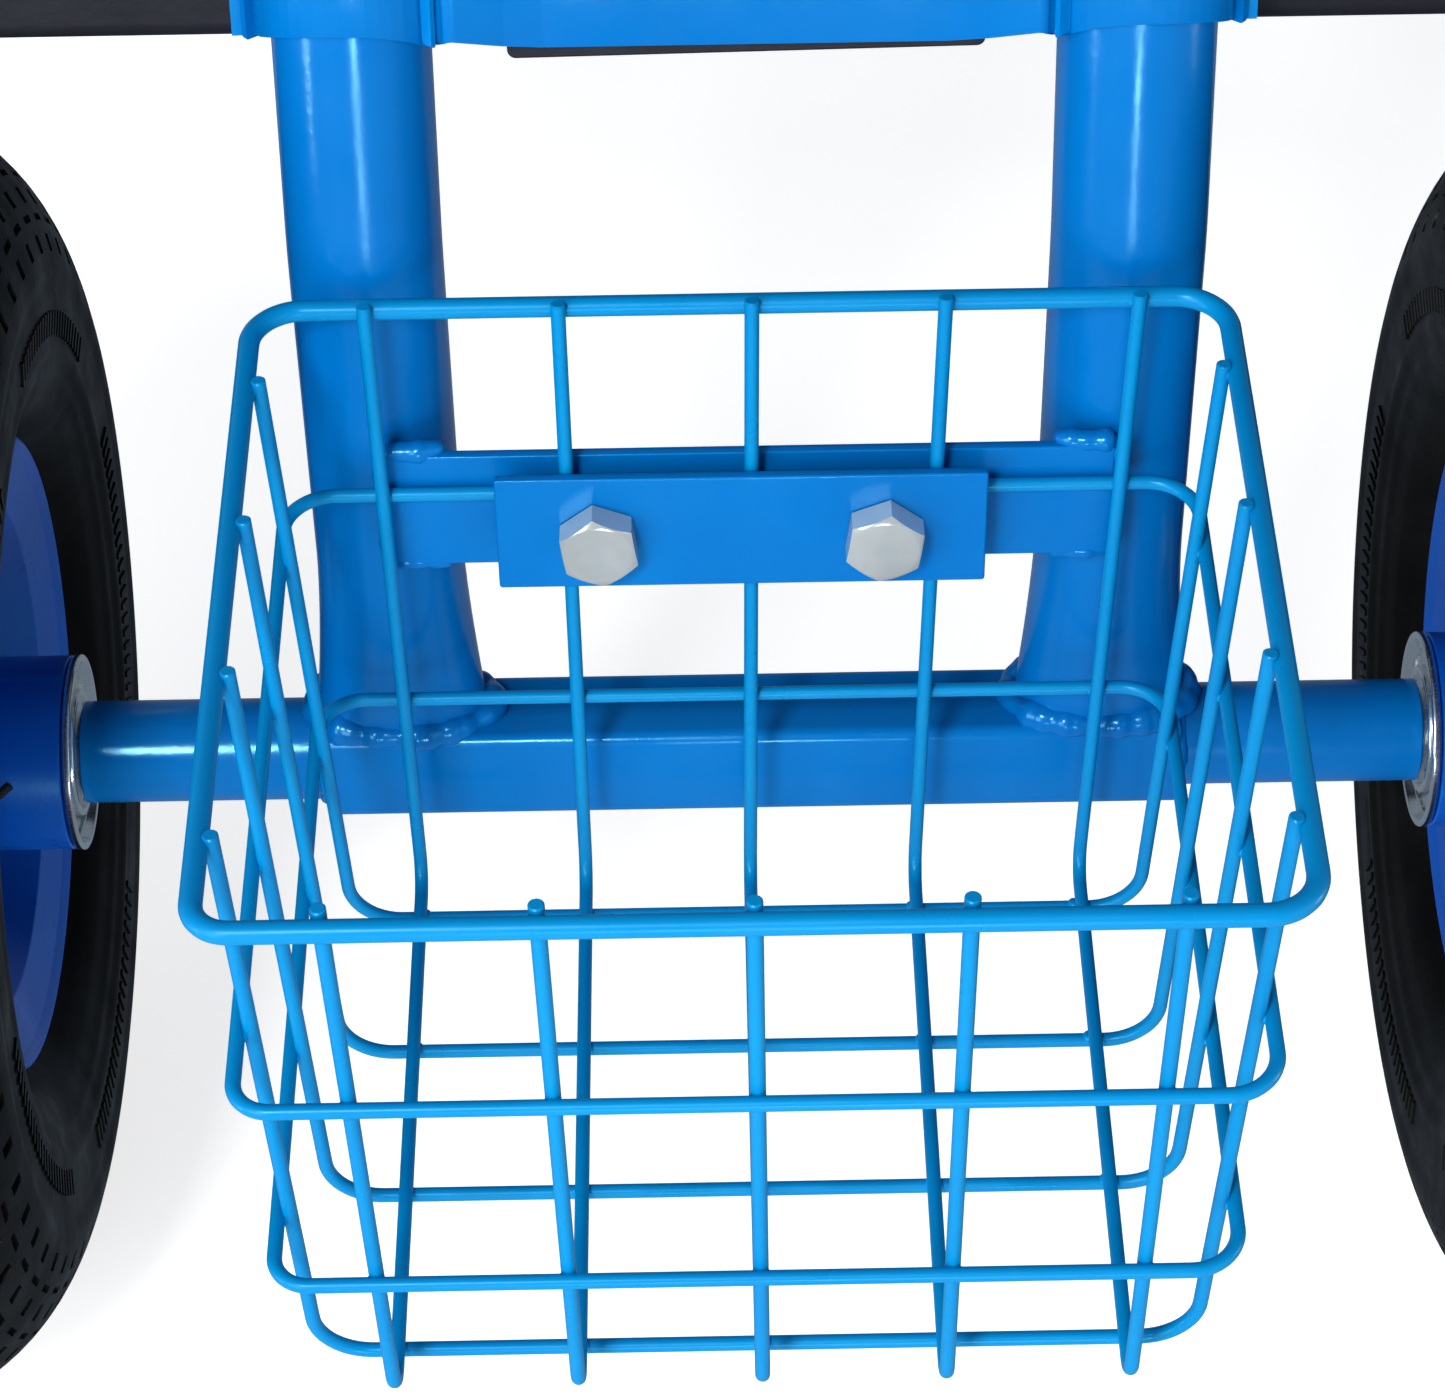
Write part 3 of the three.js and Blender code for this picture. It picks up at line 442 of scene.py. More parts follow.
# ---- materials
class Nodes:
    """A short way to write a material's node tree."""

    def __init__(self, name, slot=None):
        self.material = bpy.data.materials.new(name)
        self.material.use_nodes = True
        self.material["slot"] = slot or name
        self.tree = self.material.node_tree
        self.tree.nodes.clear()
        self.shader = self.add("ShaderNodeBsdfPrincipled")
        output = self.add("ShaderNodeOutputMaterial")
        self.link(self.shader.outputs[0], output.inputs[0])
        self.place = self.add("ShaderNodeTexCoord").outputs["Object"]

    def add(self, kind, **settings):
        node = self.tree.nodes.new(kind)
        for key, value in settings.items():
            setattr(node, key, value)
        return node

    def link(self, a, b):
        self.tree.links.new(a, b)

    def noise(self, scale, detail=3.0, rough=0.55, stretch=None):
        """Noise whose features are about 1/scale metres across."""
        node = self.add("ShaderNodeTexNoise")
        node.inputs["Scale"].default_value = scale
        node.inputs["Detail"].default_value = detail
        node.inputs["Roughness"].default_value = rough
        where = self.place
        if stretch:
            mapping = self.add("ShaderNodeMapping")
            mapping.inputs["Scale"].default_value = stretch
            self.link(where, mapping.inputs["Vector"])
            where = mapping.outputs[0]
        self.link(where, node.inputs["Vector"])
        return node.outputs["Fac"]

    def spread(self, value, low, high, start=0.3, end=0.7):
        """Maps a 0 to 1 pattern onto a range."""
        node = self.add("ShaderNodeMapRange")
        node.inputs["From Min"].default_value = start
        node.inputs["From Max"].default_value = end
        node.inputs["To Min"].default_value = low
        node.inputs["To Max"].default_value = high
        self.link(value, node.inputs["Value"])
        return node.outputs[0]

    def mix(self, factor, a, b):
        node = self.add("ShaderNodeMix", data_type="RGBA")
        self.link(factor, node.inputs["Factor"])
        for socket, colour in ((node.inputs["A"], a), (node.inputs["B"], b)):
            if isinstance(colour, tuple):
                socket.default_value = (*colour, 1)
            else:
                self.link(colour, socket)
        return node.outputs["Result"]

    def edges(self, start, end):
        """1 on convex edges, 0 on flats."""
        geometry = self.add("ShaderNodeNewGeometry")
        return self.spread(geometry.outputs["Pointiness"], 0, 1, start, end)

    def bump(self, *layers):
        """Stacks (pattern, depth in metres) pairs as bump."""
        normal = None
        for value, depth in layers:
            node = self.add("ShaderNodeBump")
            node.inputs["Strength"].default_value = 1.0
            node.inputs["Distance"].default_value = depth
            self.link(value, node.inputs["Height"])
            if normal:
                self.link(normal, node.inputs["Normal"])
            normal = node.outputs[0]
        self.link(normal, self.shader.inputs["Normal"])

    def set(self, **values):
        for key, value in values.items():
            socket = self.shader.inputs[key.replace("_", " ")]
            if isinstance(value, bpy.types.NodeSocket):
                self.link(value, socket)
            else:
                socket.default_value = (*value, 1) if isinstance(value, tuple) else value


BLUE_TINT = (0.28, 0.78, 1.0)


def powder_coat(name, colour, deep, worn, rough, spec, tint=BLUE_TINT, peel=0.00002):
    """Baked powder coat: orange peel, faint clouding, thin paint on the edges, specks of dust."""
    n = Nodes(name)
    cloud = n.noise(14, 4)
    grain = n.noise(900, 2)
    base = n.mix(n.spread(cloud, 0, 1, 0.35, 0.7), colour, deep)
    base = n.mix(n.spread(n.edges(0.53, 0.6), 0, 0.5, 0, 1), base, worn)
    base = n.mix(n.spread(grain, 0, 0.1, 0.62, 0.78), base, worn)
    n.set(Base_Color=base, Roughness=n.spread(n.noise(60, 4), rough - 0.05, rough + 0.08))
    n.set(Specular_IOR_Level=spec, Specular_Tint=tint)
    n.bump((n.noise(420, 2), peel * 2), (n.noise(1500, 2), peel * 0.6))
    return n.material


def plated_metal(name, colour, rough, metallic=1.0, slot=None):
    """Plated or cast metal: fine drawing marks, faint warm clouding and a duller bloom."""
    n = Nodes(name, slot)
    bloom = n.spread(n.noise(70, 5), 0, 1, 0.35, 0.7)
    dull = tuple(c * 0.8 for c in colour)
    warm = (colour[0] * 0.95, colour[1] * 0.9, colour[2] * 0.78)
    base = n.mix(bloom, colour, dull)
    base = n.mix(n.spread(n.noise(160, 3), 0, 0.35, 0.5, 0.75), base, warm)
    marks = n.noise(900, 3, 0.6, (1, 1, 8))
    n.set(Base_Color=base, Metallic=metallic, Roughness=n.spread(marks, rough - 0.06, rough + 0.08))
    n.bump((marks, 0.000001), (n.noise(200, 2), 0.000008))
    return n.material


def moulded_rubber(name, colour, rough, spec=0.3):
    """Moulded rubber: matt skin, a grey bloom and fine grain."""
    n = Nodes(name)
    bloom = tuple(c * 2.2 + 0.003 for c in colour)
    base = n.mix(n.spread(n.noise(35, 5, 0.65), 0, 0.6, 0.45, 0.75), colour, bloom)
    base = n.mix(n.spread(n.edges(0.52, 0.6), 0, 0.45, 0, 1), base, bloom)
    n.set(Base_Color=base, Roughness=n.spread(n.noise(90, 4), rough - 0.08, rough + 0.1))
    n.set(Specular_IOR_Level=spec)
    n.bump((n.noise(700, 3), 0.00006), (n.noise(2200, 2), 0.00003))
    return n.material


def moulded_plastic(name, colour, rough):
    """Moulded plastic: faint flow marks and a fine grain."""
    n = Nodes(name)
    base = n.mix(n.spread(n.noise(40, 4), 0, 1, 0.4, 0.7), colour, tuple(c * 1.5 + 0.003 for c in colour))
    n.set(Base_Color=base, Roughness=n.spread(n.noise(120, 3), rough - 0.05, rough + 0.08))
    n.bump((n.noise(1800, 2), 0.00004))
    return n.material


# Coats: main colour, deeper clouds, thin paint on the edges.
frame_blue = powder_coat("frame_blue", (0.0, 0.13, 0.42), (0.0, 0.108, 0.37), (0.0, 0.19, 0.5), 0.18, 0.6)
basket_blue = powder_coat("basket_blue", (0.0, 0.195, 0.45), (0.0, 0.165, 0.41), (0.0, 0.24, 0.52),
                          0.3, 0.4, peel=0.00001)
# The wheels' coat below is a darker copy of the frame's blue: painted shade for the shadow that the tyres
# cast on the rims and hub.
rim_blue = powder_coat("rim_blue", (0.0, 0.07, 0.4), (0.0, 0.055, 0.33), (0.0, 0.11, 0.48), 0.3, 0.4)
frame_black = powder_coat("frame_black", (0.009, 0.009, 0.013), (0.007, 0.007, 0.01), (0.02, 0.02, 0.026),
                          0.42, 0.25, (0.8, 0.85, 1), peel=0.00004)
zinc = plated_metal("zinc", (0.8, 0.82, 0.82), 0.2)
bolt_zinc = plated_metal("bolt_zinc", (0.62, 0.66, 0.65), 0.16, 0.6, slot="zinc")
brass = plated_metal("brass", (0.72, 0.5, 0.2), 0.26)
tyre_rubber = moulded_rubber("tyre_rubber", (0.0022, 0.0021, 0.0019), 0.46, 0.09)
black_rubber = moulded_rubber("black_rubber", (0.01, 0.01, 0.01), 0.66)
black_plastic = moulded_plastic("black_plastic", (0.012, 0.012, 0.013), 0.42)


# ---- frame tubes
def along_lean(start, lean, length):
    return np.array([0, start[1] + math.sin(lean) * length, start[2] + math.cos(lean) * length])


KNEE = np.array([0, 0, KNEE_Z])
SHOULDER = along_lean(KNEE, KNEE_LEAN, (SHOULDER_Z - KNEE_Z) / math.cos(KNEE_LEAN))
TUBE_TOP = along_lean(SHOULDER, SHOULDER_LEAN, TUBE_REACH)
FOOT_Z = BAR_SIDE / 2 + GAP
FLARE_HEIGHT = 40.0
FOOT_HALF_WIDTH = 16.6
FOOT_HALF_DEPTH = 9.8


def upright_shape():
    """A round tube, squashed front to back at its foot and bent back twice."""
    flare = [(0, 0, FOOT_Z + FLARE_HEIGHT * i / 12) for i in range(12)]
    bends = rounded([(0, 0, FOOT_Z + FLARE_HEIGHT), KNEE, SHOULDER, TUBE_TOP], 55, step=3)
    path = np.vstack([flare, bends])
    squash = np.clip(1 - (path[:, 2] - FOOT_Z) / FLARE_HEIGHT, 0, 1) ** 1.5
    radii = np.column_stack([
        TUBE_RADIUS + (FOOT_HALF_WIDTH - TUBE_RADIUS) * squash,
        TUBE_RADIUS + (FOOT_HALF_DEPTH - TUBE_RADIUS) * squash])
    return pipe(path, radii, 1.8, 48, (1, 0, 0))


def foot_weld(seed):
    """The fat bead round an upright's squashed foot."""
    angle = np.linspace(0, 2 * math.pi, 72, endpoint=False)
    ring = np.column_stack([
        (FOOT_HALF_WIDTH + 0.6) * np.cos(angle), (FOOT_HALF_DEPTH - 0.4) * np.sin(angle),
        np.full(72, FOOT_Z + 0.9)])
    return bead(ring, 2.9, True, 3.6, seed)


for name, side in SIDES:
    tube = moved(upright_shape(), x=side * TUBE_X)
    stand_in(f"upright_{name}", "tube", tube, frame_blue)
    piece(f"upright_{name}_weld", moved(foot_weld(1.3 + side), x=side * TUBE_X), frame_blue)

HOOP_RADIUS = 11.0
HOOP_CORNER = along_lean(SHOULDER, SHOULDER_LEAN, TUBE_REACH + 190)
HOOP_TOP = along_lean(HOOP_CORNER, math.radians(62), 90)
HOOP_START = along_lean(SHOULDER, SHOULDER_LEAN, TUBE_REACH - 70)


def hoop_path():
    half = [HOOP_START, HOOP_CORNER, HOOP_TOP]
    right = [p + (TUBE_X, 0, 0) for p in half]
    left = [p - (TUBE_X, 0, 0) for p in half]
    return rounded(left + right[::-1], [0, 60, 38, 38, 60, 0], step=4)


def grip_shape():
    """A soft sleeve with rounded ribs and a flange at each end."""
    bore = HOOP_RADIUS + GAP
    profile = [(-27, bore), (-27, 15.2), (-23, 15.4)]
    for i in range(8):
        x = -21 + i * 5.4
        profile += [(x, 13.9), (x + 1.2, 15.2), (x + 3.2, 15.2), (x + 4.4, 13.9)]
    profile += [(23, 15.4), (27, 15.2), (27, bore)]
    return moved(lathe(soft(profile, 0.55, 45), 48), *HOOP_TOP)


stand_in("handle_hoop", "tube", pipe(hoop_path(), HOOP_RADIUS, 1.5, 36, (1, 0, 0)), frame_blue)
stand_in("handle_grip", "sleeve", grip_shape(), black_rubber)
for name, side in SIDES:
    bolt = bolt_set(10, 3, 2 * TUBE_RADIUS + 2 * GAP, 3)
    at = along_lean(SHOULDER, SHOULDER_LEAN, TUBE_REACH - 30)
    bolt = moved(spun(bolt, "Z", 90 * side), x=side * (TUBE_X + TUBE_RADIUS + GAP), y=at[1], z=at[2])
    stand_in(f"handle_bolt_{name}", "set", bolt, bolt_zinc)


# ---- axle
bar_section = rectangle(BAR_SIDE, BAR_SIDE, 2.4)
bar_hole = rectangle(BAR_SIDE - 3, BAR_SIDE - 3, 1.2)
stand_in("axle_crossbar", "tube", across(plate(bar_section, 2 * BAR_HALF, 0.5, [bar_hole])), frame_blue)

SLEEVE_END = WHEEL_X - HUB_HALF - 2.2
for name, side in SIDES:
    start = side * (BAR_HALF + GAP)
    line = [(start, 0, 0), (side * (BAR_HALF + 20), 0, 0), (side * SLEEVE_END, 0, 0)]
    sleeve = pipe(line, SLEEVE_RADIUS, 1.7, 48)
    stand_in(f"axle_sleeve_{name}", "tube", sleeve, frame_blue)
    ring = [(start - side * 0.2, y, z) for y, z in circle(SLEEVE_RADIUS - 0.3)]
    piece(f"axle_sleeve_{name}_weld", bead(ring, 1.3, True, 2.4, side + 0.4), frame_blue)


def axle_rod_shape():
    """A plain rod, threaded at both ends for the wheel nuts."""
    thread = 34.0
    plain = AXLE_ROD_HALF - thread
    profile = [(-plain, 0.5), (-plain, AXLE_ROD_RADIUS), (plain, AXLE_ROD_RADIUS), (plain, 0.5)]
    middle = lathe(soft(profile, 0.2, closed=False), 40, closed=False)
    right = moved(spun(threaded(AXLE_ROD_RADIUS, thread, 2.0), "Y", 90), x=plain)
    return merged([middle, right, flipped(right)])


stand_in("axle_rod", "bar", axle_rod_shape(), zinc)
for name, side in SIDES:
    face = WHEEL_X + HUB_HALF + 2.6
    washer = lathe(soft([(0, 8.3), (2, 8.3), (2, 15.5), (0, 15.5)], 0.5), 56)
    nut = moved(spun(hex_body(24, 12.5, 8.1, True), "Y", 90), x=2)
    collar = lathe(soft([(14, 8.2), (14, 10.4), (15.8, 10.1), (16.4, 8.2)], 0.4), 48)
    nut_set = on_side(moved(merged([washer, nut, collar]), x=face), side)
    stand_in(f"axle_nut_{name}", "set", nut_set, zinc)


# ---- wheels
# Built for the right wheel about its own centre, then moved out; the left one is mirrored.
TYRE_CENTRE = WHEEL_RADIUS - TYRE_HEIGHT
TREAD_DEPTH = 1.3
TREAD_EDGE = 12                       # degrees round the section from the side to the tread
TREAD_SWELL = 8                       # degrees over which the sidewall rises to the tread
TREAD_ROWS = 11
TREAD_CELLS = 56
CELL_LINES = (0.1, 0.12, 0.35, 0.37, 0.6, 0.62, 0.85, 0.87)
ROW_LINES = (0.0, 0.03, 0.12, 0.15, 0.42, 0.45, 0.75, 0.78)


def tyre_surface(degrees, lift=0.0):
    """Point [x, radius] on the tyre's section; 0 is the side, 90 the crown."""
    a = np.radians(degrees)
    skin_x = TYRE_HALF_WIDTH - TREAD_DEPTH + lift
    skin_r = TYRE_HEIGHT - TREAD_DEPTH + lift
    return np.stack([skin_x * np.cos(a), TYRE_CENTRE + skin_r * np.sin(a)], -1)


def sidewall_lift(degrees):
    """Moulded rings on the sidewall, and the swell up to the tread's level."""
    lift = 0.7 * np.exp(-((degrees + 12) / 2.2) ** 2)
    lift += 0.5 * np.exp(-((degrees + 19) / 1.4) ** 2)
    lift += 0.2 * np.exp(-((degrees - 3) / 1.1) ** 2)
    swell = np.clip((degrees - TREAD_EDGE) / TREAD_SWELL + 1, 0, 1)
    return lift + TREAD_DEPTH * swell * swell * (3 - 2 * swell)


def tread_cut(cell, row, across):
    """Depth of the tread's slits and square pits; neighbouring rows are half a cell apart."""
    phase = (cell[:, None] + 0.5 * (row % 2)[None]) % 1
    slit = (phase > 0.11) & (phase < 0.61) & (across > 0.02) & (across < 0.135)
    pit = (phase > 0.36) & (phase < 0.61) & (across > 0.435) & (across < 0.765)
    return 0.9 * slit + TREAD_DEPTH * pit


def tyre_shape():
    """The whole tyre as one body: bead, sidewalls, tread with its slits and pits, hollow inside."""
    lines = np.add.outer(np.arange(TREAD_CELLS), CELL_LINES).ravel()
    row_step = (180 - 2 * TREAD_EDGE) / TREAD_ROWS
    tread_lines = np.add.outer(np.arange(TREAD_ROWS), ROW_LINES).ravel()
    side = np.arange(-28, TREAD_EDGE - 0.5, 1.6)
    tread = TREAD_EDGE + tread_lines * row_step
    degrees = np.concatenate([side, tread, 180 - side[::-1]])
    from_side = np.minimum(degrees, 180 - degrees)
    row = np.concatenate([0 * side, np.floor(tread_lines), 0 * side]).astype(int)
    across_row = np.concatenate([0 * side - 1, tread_lines % 1, 0 * side - 1])
    lift = sidewall_lift(from_side)[None] - tread_cut(lines % 1, row, across_row)
    outside = tyre_surface(np.broadcast_to(degrees, lift.shape), lift)
    seat = RIM_SEAT_RADIUS
    bead_right = [(18, seat - 1.8), (22.3, seat + 0.4), (25, seat + 9), (27.6, RIM_FLANGE_RADIUS + 1.4),
                  (30.2, RIM_FLANGE_RADIUS + 2.8)]
    bead_left = [(-x, r) for x, r in reversed(bead_right)]
    toe = (19, seat + 6)
    inside = [((TYRE_HALF_WIDTH - 5) * math.cos(a), TYRE_CENTRE + (TYRE_HEIGHT - 5) * math.sin(a))
              for a in np.radians(np.arange(215, -36, -10))]
    around = [np.broadcast_to(np.array(p, float), (len(lines), len(p), 2))
              for p in (bead_right, [*bead_left, (-toe[0], toe[1]), *inside, toe])]
    profiles = np.concatenate([around[0], outside, around[1]], 1)
    return lathe(profiles, angle=lines * 2 * math.pi / TREAD_CELLS)


def scuff_ticks():
    """Groups of plain radial ribs moulded round each sidewall."""
    points, faces = [], []
    for side in (-1, 1):
        for group in range(5):
            for i in range(24):
                a0 = math.radians(group * 72 + 8 + i * 2.1)
                half = math.radians(0.42)
                base = len(points)
                for lift in (-0.6, 0.5):
                    for degrees, da in ((-8, -half), (-8, half), (-1, half), (-1, -half)):
                        x, r = tyre_surface(degrees, lift)
                        points.append((side * x, r * math.sin(a0 + da), r * math.cos(a0 + da)))
                quads = [(0, 1, 5, 4), (1, 2, 6, 5), (2, 3, 7, 6), (3, 0, 4, 7), (4, 5, 6, 7), (3, 2, 1, 0)]
                for quad in quads:
                    face = tuple(base + k for k in quad)
                    faces.append(face[::-1] if side > 0 else face)
    return np.array(points), faces


def rim_half_shape():
    """One pressed rim half: flat disc, dish, bead seat and rolled flange."""
    seat = RIM_SEAT_RADIUS
    face = [(1.2, HUB_RADIUS - 0.2), (1.2, 27), (3.4, 31), (3.4, 35), (10.2, 45.5), (22.8, seat),
            (25.6, RIM_FLANGE_RADIUS - 2.2), (27.6, RIM_FLANGE_RADIUS)]
    back = [(29.2, RIM_FLANGE_RADIUS - 0.6), (27.3, RIM_FLANGE_RADIUS - 3.4), (24.4, seat - 1.8),
            (11.6, 43.6), (5.2, 34.2), (5.2, 30.4), (3, 26.2), (3, HUB_RADIUS - 0.2)]
    return lathe(soft(face + back, 0.85, 22), 96)


def rim_weld(seed):
    ring = [(3.4, y, z) for y, z in circle(HUB_RADIUS + 0.4, count=72)]
    return bead(ring, 1.5, True, 3.0, seed)


def bearing_shape():
    """Dished, flanged bearing cap with a rolled outer lip and a collar round the axle."""
    profile = [(-10, AXLE_ROD_RADIUS + 0.1), (-10, 16.7), (0.3, 16.7), (0.3, 19.2), (2.0, 19.2), (2.0, 17.9),
               (0.5, 17.2), (-3.2, 15.6), (-3.6, 13.0), (1.7, 12.5), (1.7, 11.2), (0.4, 10.6),
               (0.4, AXLE_ROD_RADIUS + 0.1)]
    cap = lathe(soft(profile, 0.45, 22), 96)
    return moved(cap, x=HUB_HALF)


def hub_shape():
    bore = HUB_RADIUS - 2
    profile = [(-HUB_HALF, HUB_RADIUS), (HUB_HALF, HUB_RADIUS), (HUB_HALF, bore), (-HUB_HALF, bore)]
    return lathe(soft(profile, 0.5, 30), 96)


def hub_slot():
    """A short oblong black bar on the hub tube, as painted shade for the dark inside of a slot."""
    radius = HUB_RADIUS - 0.25
    line = []
    for t in np.linspace(-1, 1, 9):
        angle = math.radians(-76 + 9 * t)
        line.append((-26 - 3.4 * t, radius * math.sin(angle), radius * math.cos(angle)))
    return rod(line, 0.95, 16)


VALVE_ANGLE = math.radians(-62)


def valve_shape():
    """The rubber valve with its cap; it stands in the inner rim half."""
    stem = lathe(soft([(27, 0.4), (27, 4.6), (29, 5.0), (35, 5.0), (36.5, 4.2), (60, 4.2), (60, 0.4)], 0.5,
                      closed=False), 28, closed=False)
    rib = lathe(soft([(0, 4.0), (0, 5.3), (0.7, 5.3), (0.7, 4.0)], 0.2), 28)
    ribs = [moved(rib, x=x) for x in (29.5, 31.2, 32.9)]
    stem = merged([stem, *ribs])
    points = np.asarray(stem[0])
    stem = (np.column_stack([points[:, 2], points[:, 1], points[:, 0]]), [f[::-1] for f in stem[1]])
    turn = math.degrees(math.pi - VALVE_ANGLE)
    return moved(spun(stem, "X", turn), x=-12)


def wheel_pieces(name, side):
    def put(part, shape, material, replaces=True):
        at_wheel = on_side(moved(shape, x=WHEEL_X), side)
        node = f"{part}_{name}" if replaces else None
        piece(f"{part}_{name}_shape", at_wheel, material, f"wheel_{name}", node)

    put("tyre", merged([tyre_shape(), scuff_ticks()]), tyre_rubber)
    # Rims, hub and their welds take the darker copy of the frame's blue, as painted shade.
    put("rim_outer", rim_half_shape(), rim_blue)
    put("rim_inner", flipped(rim_half_shape()), rim_blue)
    put("rim_outer_weld", rim_weld(0.2), rim_blue, replaces=False)
    put("rim_inner_weld", flipped(rim_weld(1.7)), rim_blue, replaces=False)
    put("bearing_outer", bearing_shape(), zinc)
    put("bearing_inner", flipped(bearing_shape()), zinc)
    put("wheel_hub", hub_shape(), rim_blue)
    # The hub's slot is a black bar: painted shade for its dark inside.
    put("hub_slot", hub_slot(), black_rubber, replaces=False)
    put("valve_stem", valve_shape(), black_rubber)


for name, side in SIDES:
    wheel_pieces(name, side)


# ---- basket
WIRE_STANDOFF = 2 * WIRE - WELD
RIM_STANDOFF = RIM_WIRE + WIRE - WELD
RIM_BACK_Y = WIRE_PLANE_Y + RIM_STANDOFF


def front_wire_y(z):
    reach = (z - BASKET_FLOOR) / (RIM_FRONT_Z - BASKET_FLOOR)
    return BASKET_FOOT_Y + (RIM_FRONT_Y + RIM_STANDOFF - BASKET_FOOT_Y) * reach


def side_wire_x(z):
    reach = (z - BASKET_FLOOR) / (RIM_BACK_Z - BASKET_FLOOR)
    return FLOOR_HALF_WIDTH + (RIM_HALF_WIDTH - RIM_STANDOFF - FLOOR_HALF_WIDTH) * reach


def basket_hoop(half_width, back, front, radius, taper=0.0):
    near = half_width - taper
    corners = [(-half_width, *back), (half_width, *back), (near, *front), (-near, *front)]
    along = np.array([0, front[0] - back[0], front[1] - back[1]], float)
    normal = np.cross(unit(along), (1, 0, 0))
    return rod(rounded(corners, [9, 9, 8.5, 6], True, 5), radius, 20, True, normal)


def basket_ring(back_z, front_z):
    middle = (back_z + front_z) / 2
    return (side_wire_x(middle) + WIRE_STANDOFF, (WIRE_PLANE_Y + WIRE_STANDOFF, back_z),
            (front_wire_y(front_z) - WIRE_STANDOFF, front_z), WIRE)


def nugget(at, half_sizes):
    """A small rounded weld where two wires cross."""
    sides = 14
    angles = np.linspace(0, 2 * math.pi, sides, endpoint=False)
    levels = np.radians([-60, -30, 0, 30, 60])
    points = [(math.cos(v) * math.cos(a), math.cos(v) * math.sin(a), math.sin(v))
              for v in levels for a in angles]
    points = np.array(points + [(0, 0, -1), (0, 0, 1)]) * np.array(half_sizes) + at
    faces = strip_faces(len(levels), sides, False, True)
    lowest = len(levels) * sides
    top_ring = lowest - sides
    for k in range(sides):
        m = (k + 1) % sides
        faces.append((m, k, lowest))
        faces.append((top_ring + k, top_ring + m, lowest + 1))
    return points, faces


def basket_shape():
    rim = (RIM_HALF_WIDTH, (RIM_BACK_Y, RIM_BACK_Z), (RIM_FRONT_Y, RIM_FRONT_Z), RIM_WIRE)
    hoops = [rim, basket_ring(77.7, 66.5), basket_ring(29.1, 19.7)]
    parts = [basket_hoop(*rim, RIM_TAPER), *[basket_hoop(*ring) for ring in hoops[1:]]]
    welds = []
    proud = 2.5
    rise = RIM_BACK_Z + proud - BASKET_FLOOR
    front_rise = RIM_FRONT_Z + proud - BASKET_FLOOR
    for i in range(-2, 3):
        back_top, back_floor, front_floor, front_top = [
            drift + i * pitch for pitch, drift in (BACK_TOP, BACK_FLOOR, FRONT_FLOOR, FRONT_TOP)]
        corners = [(back_top, WIRE_PLANE_Y, RIM_BACK_Z + proud), (back_floor, WIRE_PLANE_Y, BASKET_FLOOR),
                   (front_floor, BASKET_FOOT_Y, BASKET_FLOOR),
                   (front_top, front_wire_y(RIM_FRONT_Z + proud), RIM_FRONT_Z + proud)]
        parts.append(rod(rounded(corners, 6, step=7), WIRE, 20, normal=(1, 0, 0)))
        for half_width, back, front, radius in hoops:
            x = back_floor + (back_top - back_floor) * (back[1] - BASKET_FLOOR) / rise
            welds.append(((x, back[0] - radius + WELD / 2, back[1]), (1.7, 0.8, 1.1)))
            x = front_floor + (front_top - front_floor) * (front[1] - BASKET_FLOOR) / front_rise
            welds.append(((x, front[0] + radius - WELD / 2, front[1]), (1.7, 0.8, 1.1)))
    under = BASKET_FLOOR - WIRE_STANDOFF
    slope = (RIM_FRONT_Z - RIM_BACK_Z) / (RIM_FRONT_Y - RIM_BACK_Y)
    for i in range(4):
        top_y = -40 - i * 35.6
        foot_y = top_y + 9.2
        top_z = RIM_BACK_Z + slope * (top_y - RIM_BACK_Y) + 2
        corners = [(-side_wire_x(top_z), top_y, top_z), (-FLOOR_HALF_WIDTH, foot_y, under),
                   (FLOOR_HALF_WIDTH, foot_y, under), (side_wire_x(top_z), top_y, top_z)]
        normal = unit(np.array([0, top_z - under, foot_y - top_y]))
        parts.append(rod(rounded(corners, 10, step=6), WIRE, 20, normal=normal))
        for k in range(-2, 3):
            x = FRONT_FLOOR[1] + k * FRONT_FLOOR[0]
            welds.append(((x, foot_y, BASKET_FLOOR - WIRE + WELD / 2), (1.3, 1.3, 0.7)))
        for half_width, back, front, radius in hoops:
            share = (top_y - back[0]) / (front[0] - back[0])
            z = back[1] + share * (front[1] - back[1])
            lean = foot_y + (top_y - foot_y) * (z - under) / (top_z - under)
            for side in (-1, 1):
                inner = half_width - radius + WELD / 2
                welds.append(((side * inner, lean, z), (0.8, 1.7, 1.1)))
    parts += [nugget(at, half_sizes) for at, half_sizes in welds]
    return moved(merged(parts), x=BASKET_X)


stand_in("basket", "wires", basket_shape(), basket_blue)

CLAMP_Z = 72.5
CLAMP_BOLT_Z = 71.9
CLAMP_BOLT_X = 25.6
CLAMP_BACK = WIRE_PLANE_Y - WIRE - GAP
CLAMP_THICKNESS = 2.0
BRACE_FRONT = WIRE_PLANE_Y + WIRE_STANDOFF + WIRE + GAP
BRACE_THICKNESS = 2.2
CLAMP_WIDTH = 88.0
BRACE_WIDTH = 131.0
CLAMP_HEIGHT = 24.5                   # of the clamp and of the brace behind it


def clamp_holes(middle):
    """The two bolt holes of the clamp or the brace, spaced evenly about middle."""
    return [circle(BOLT_HOLE_RADIUS, (middle + side * CLAMP_BOLT_X, CLAMP_BOLT_Z - CLAMP_Z), 32)
            for side in (-1, 1)]


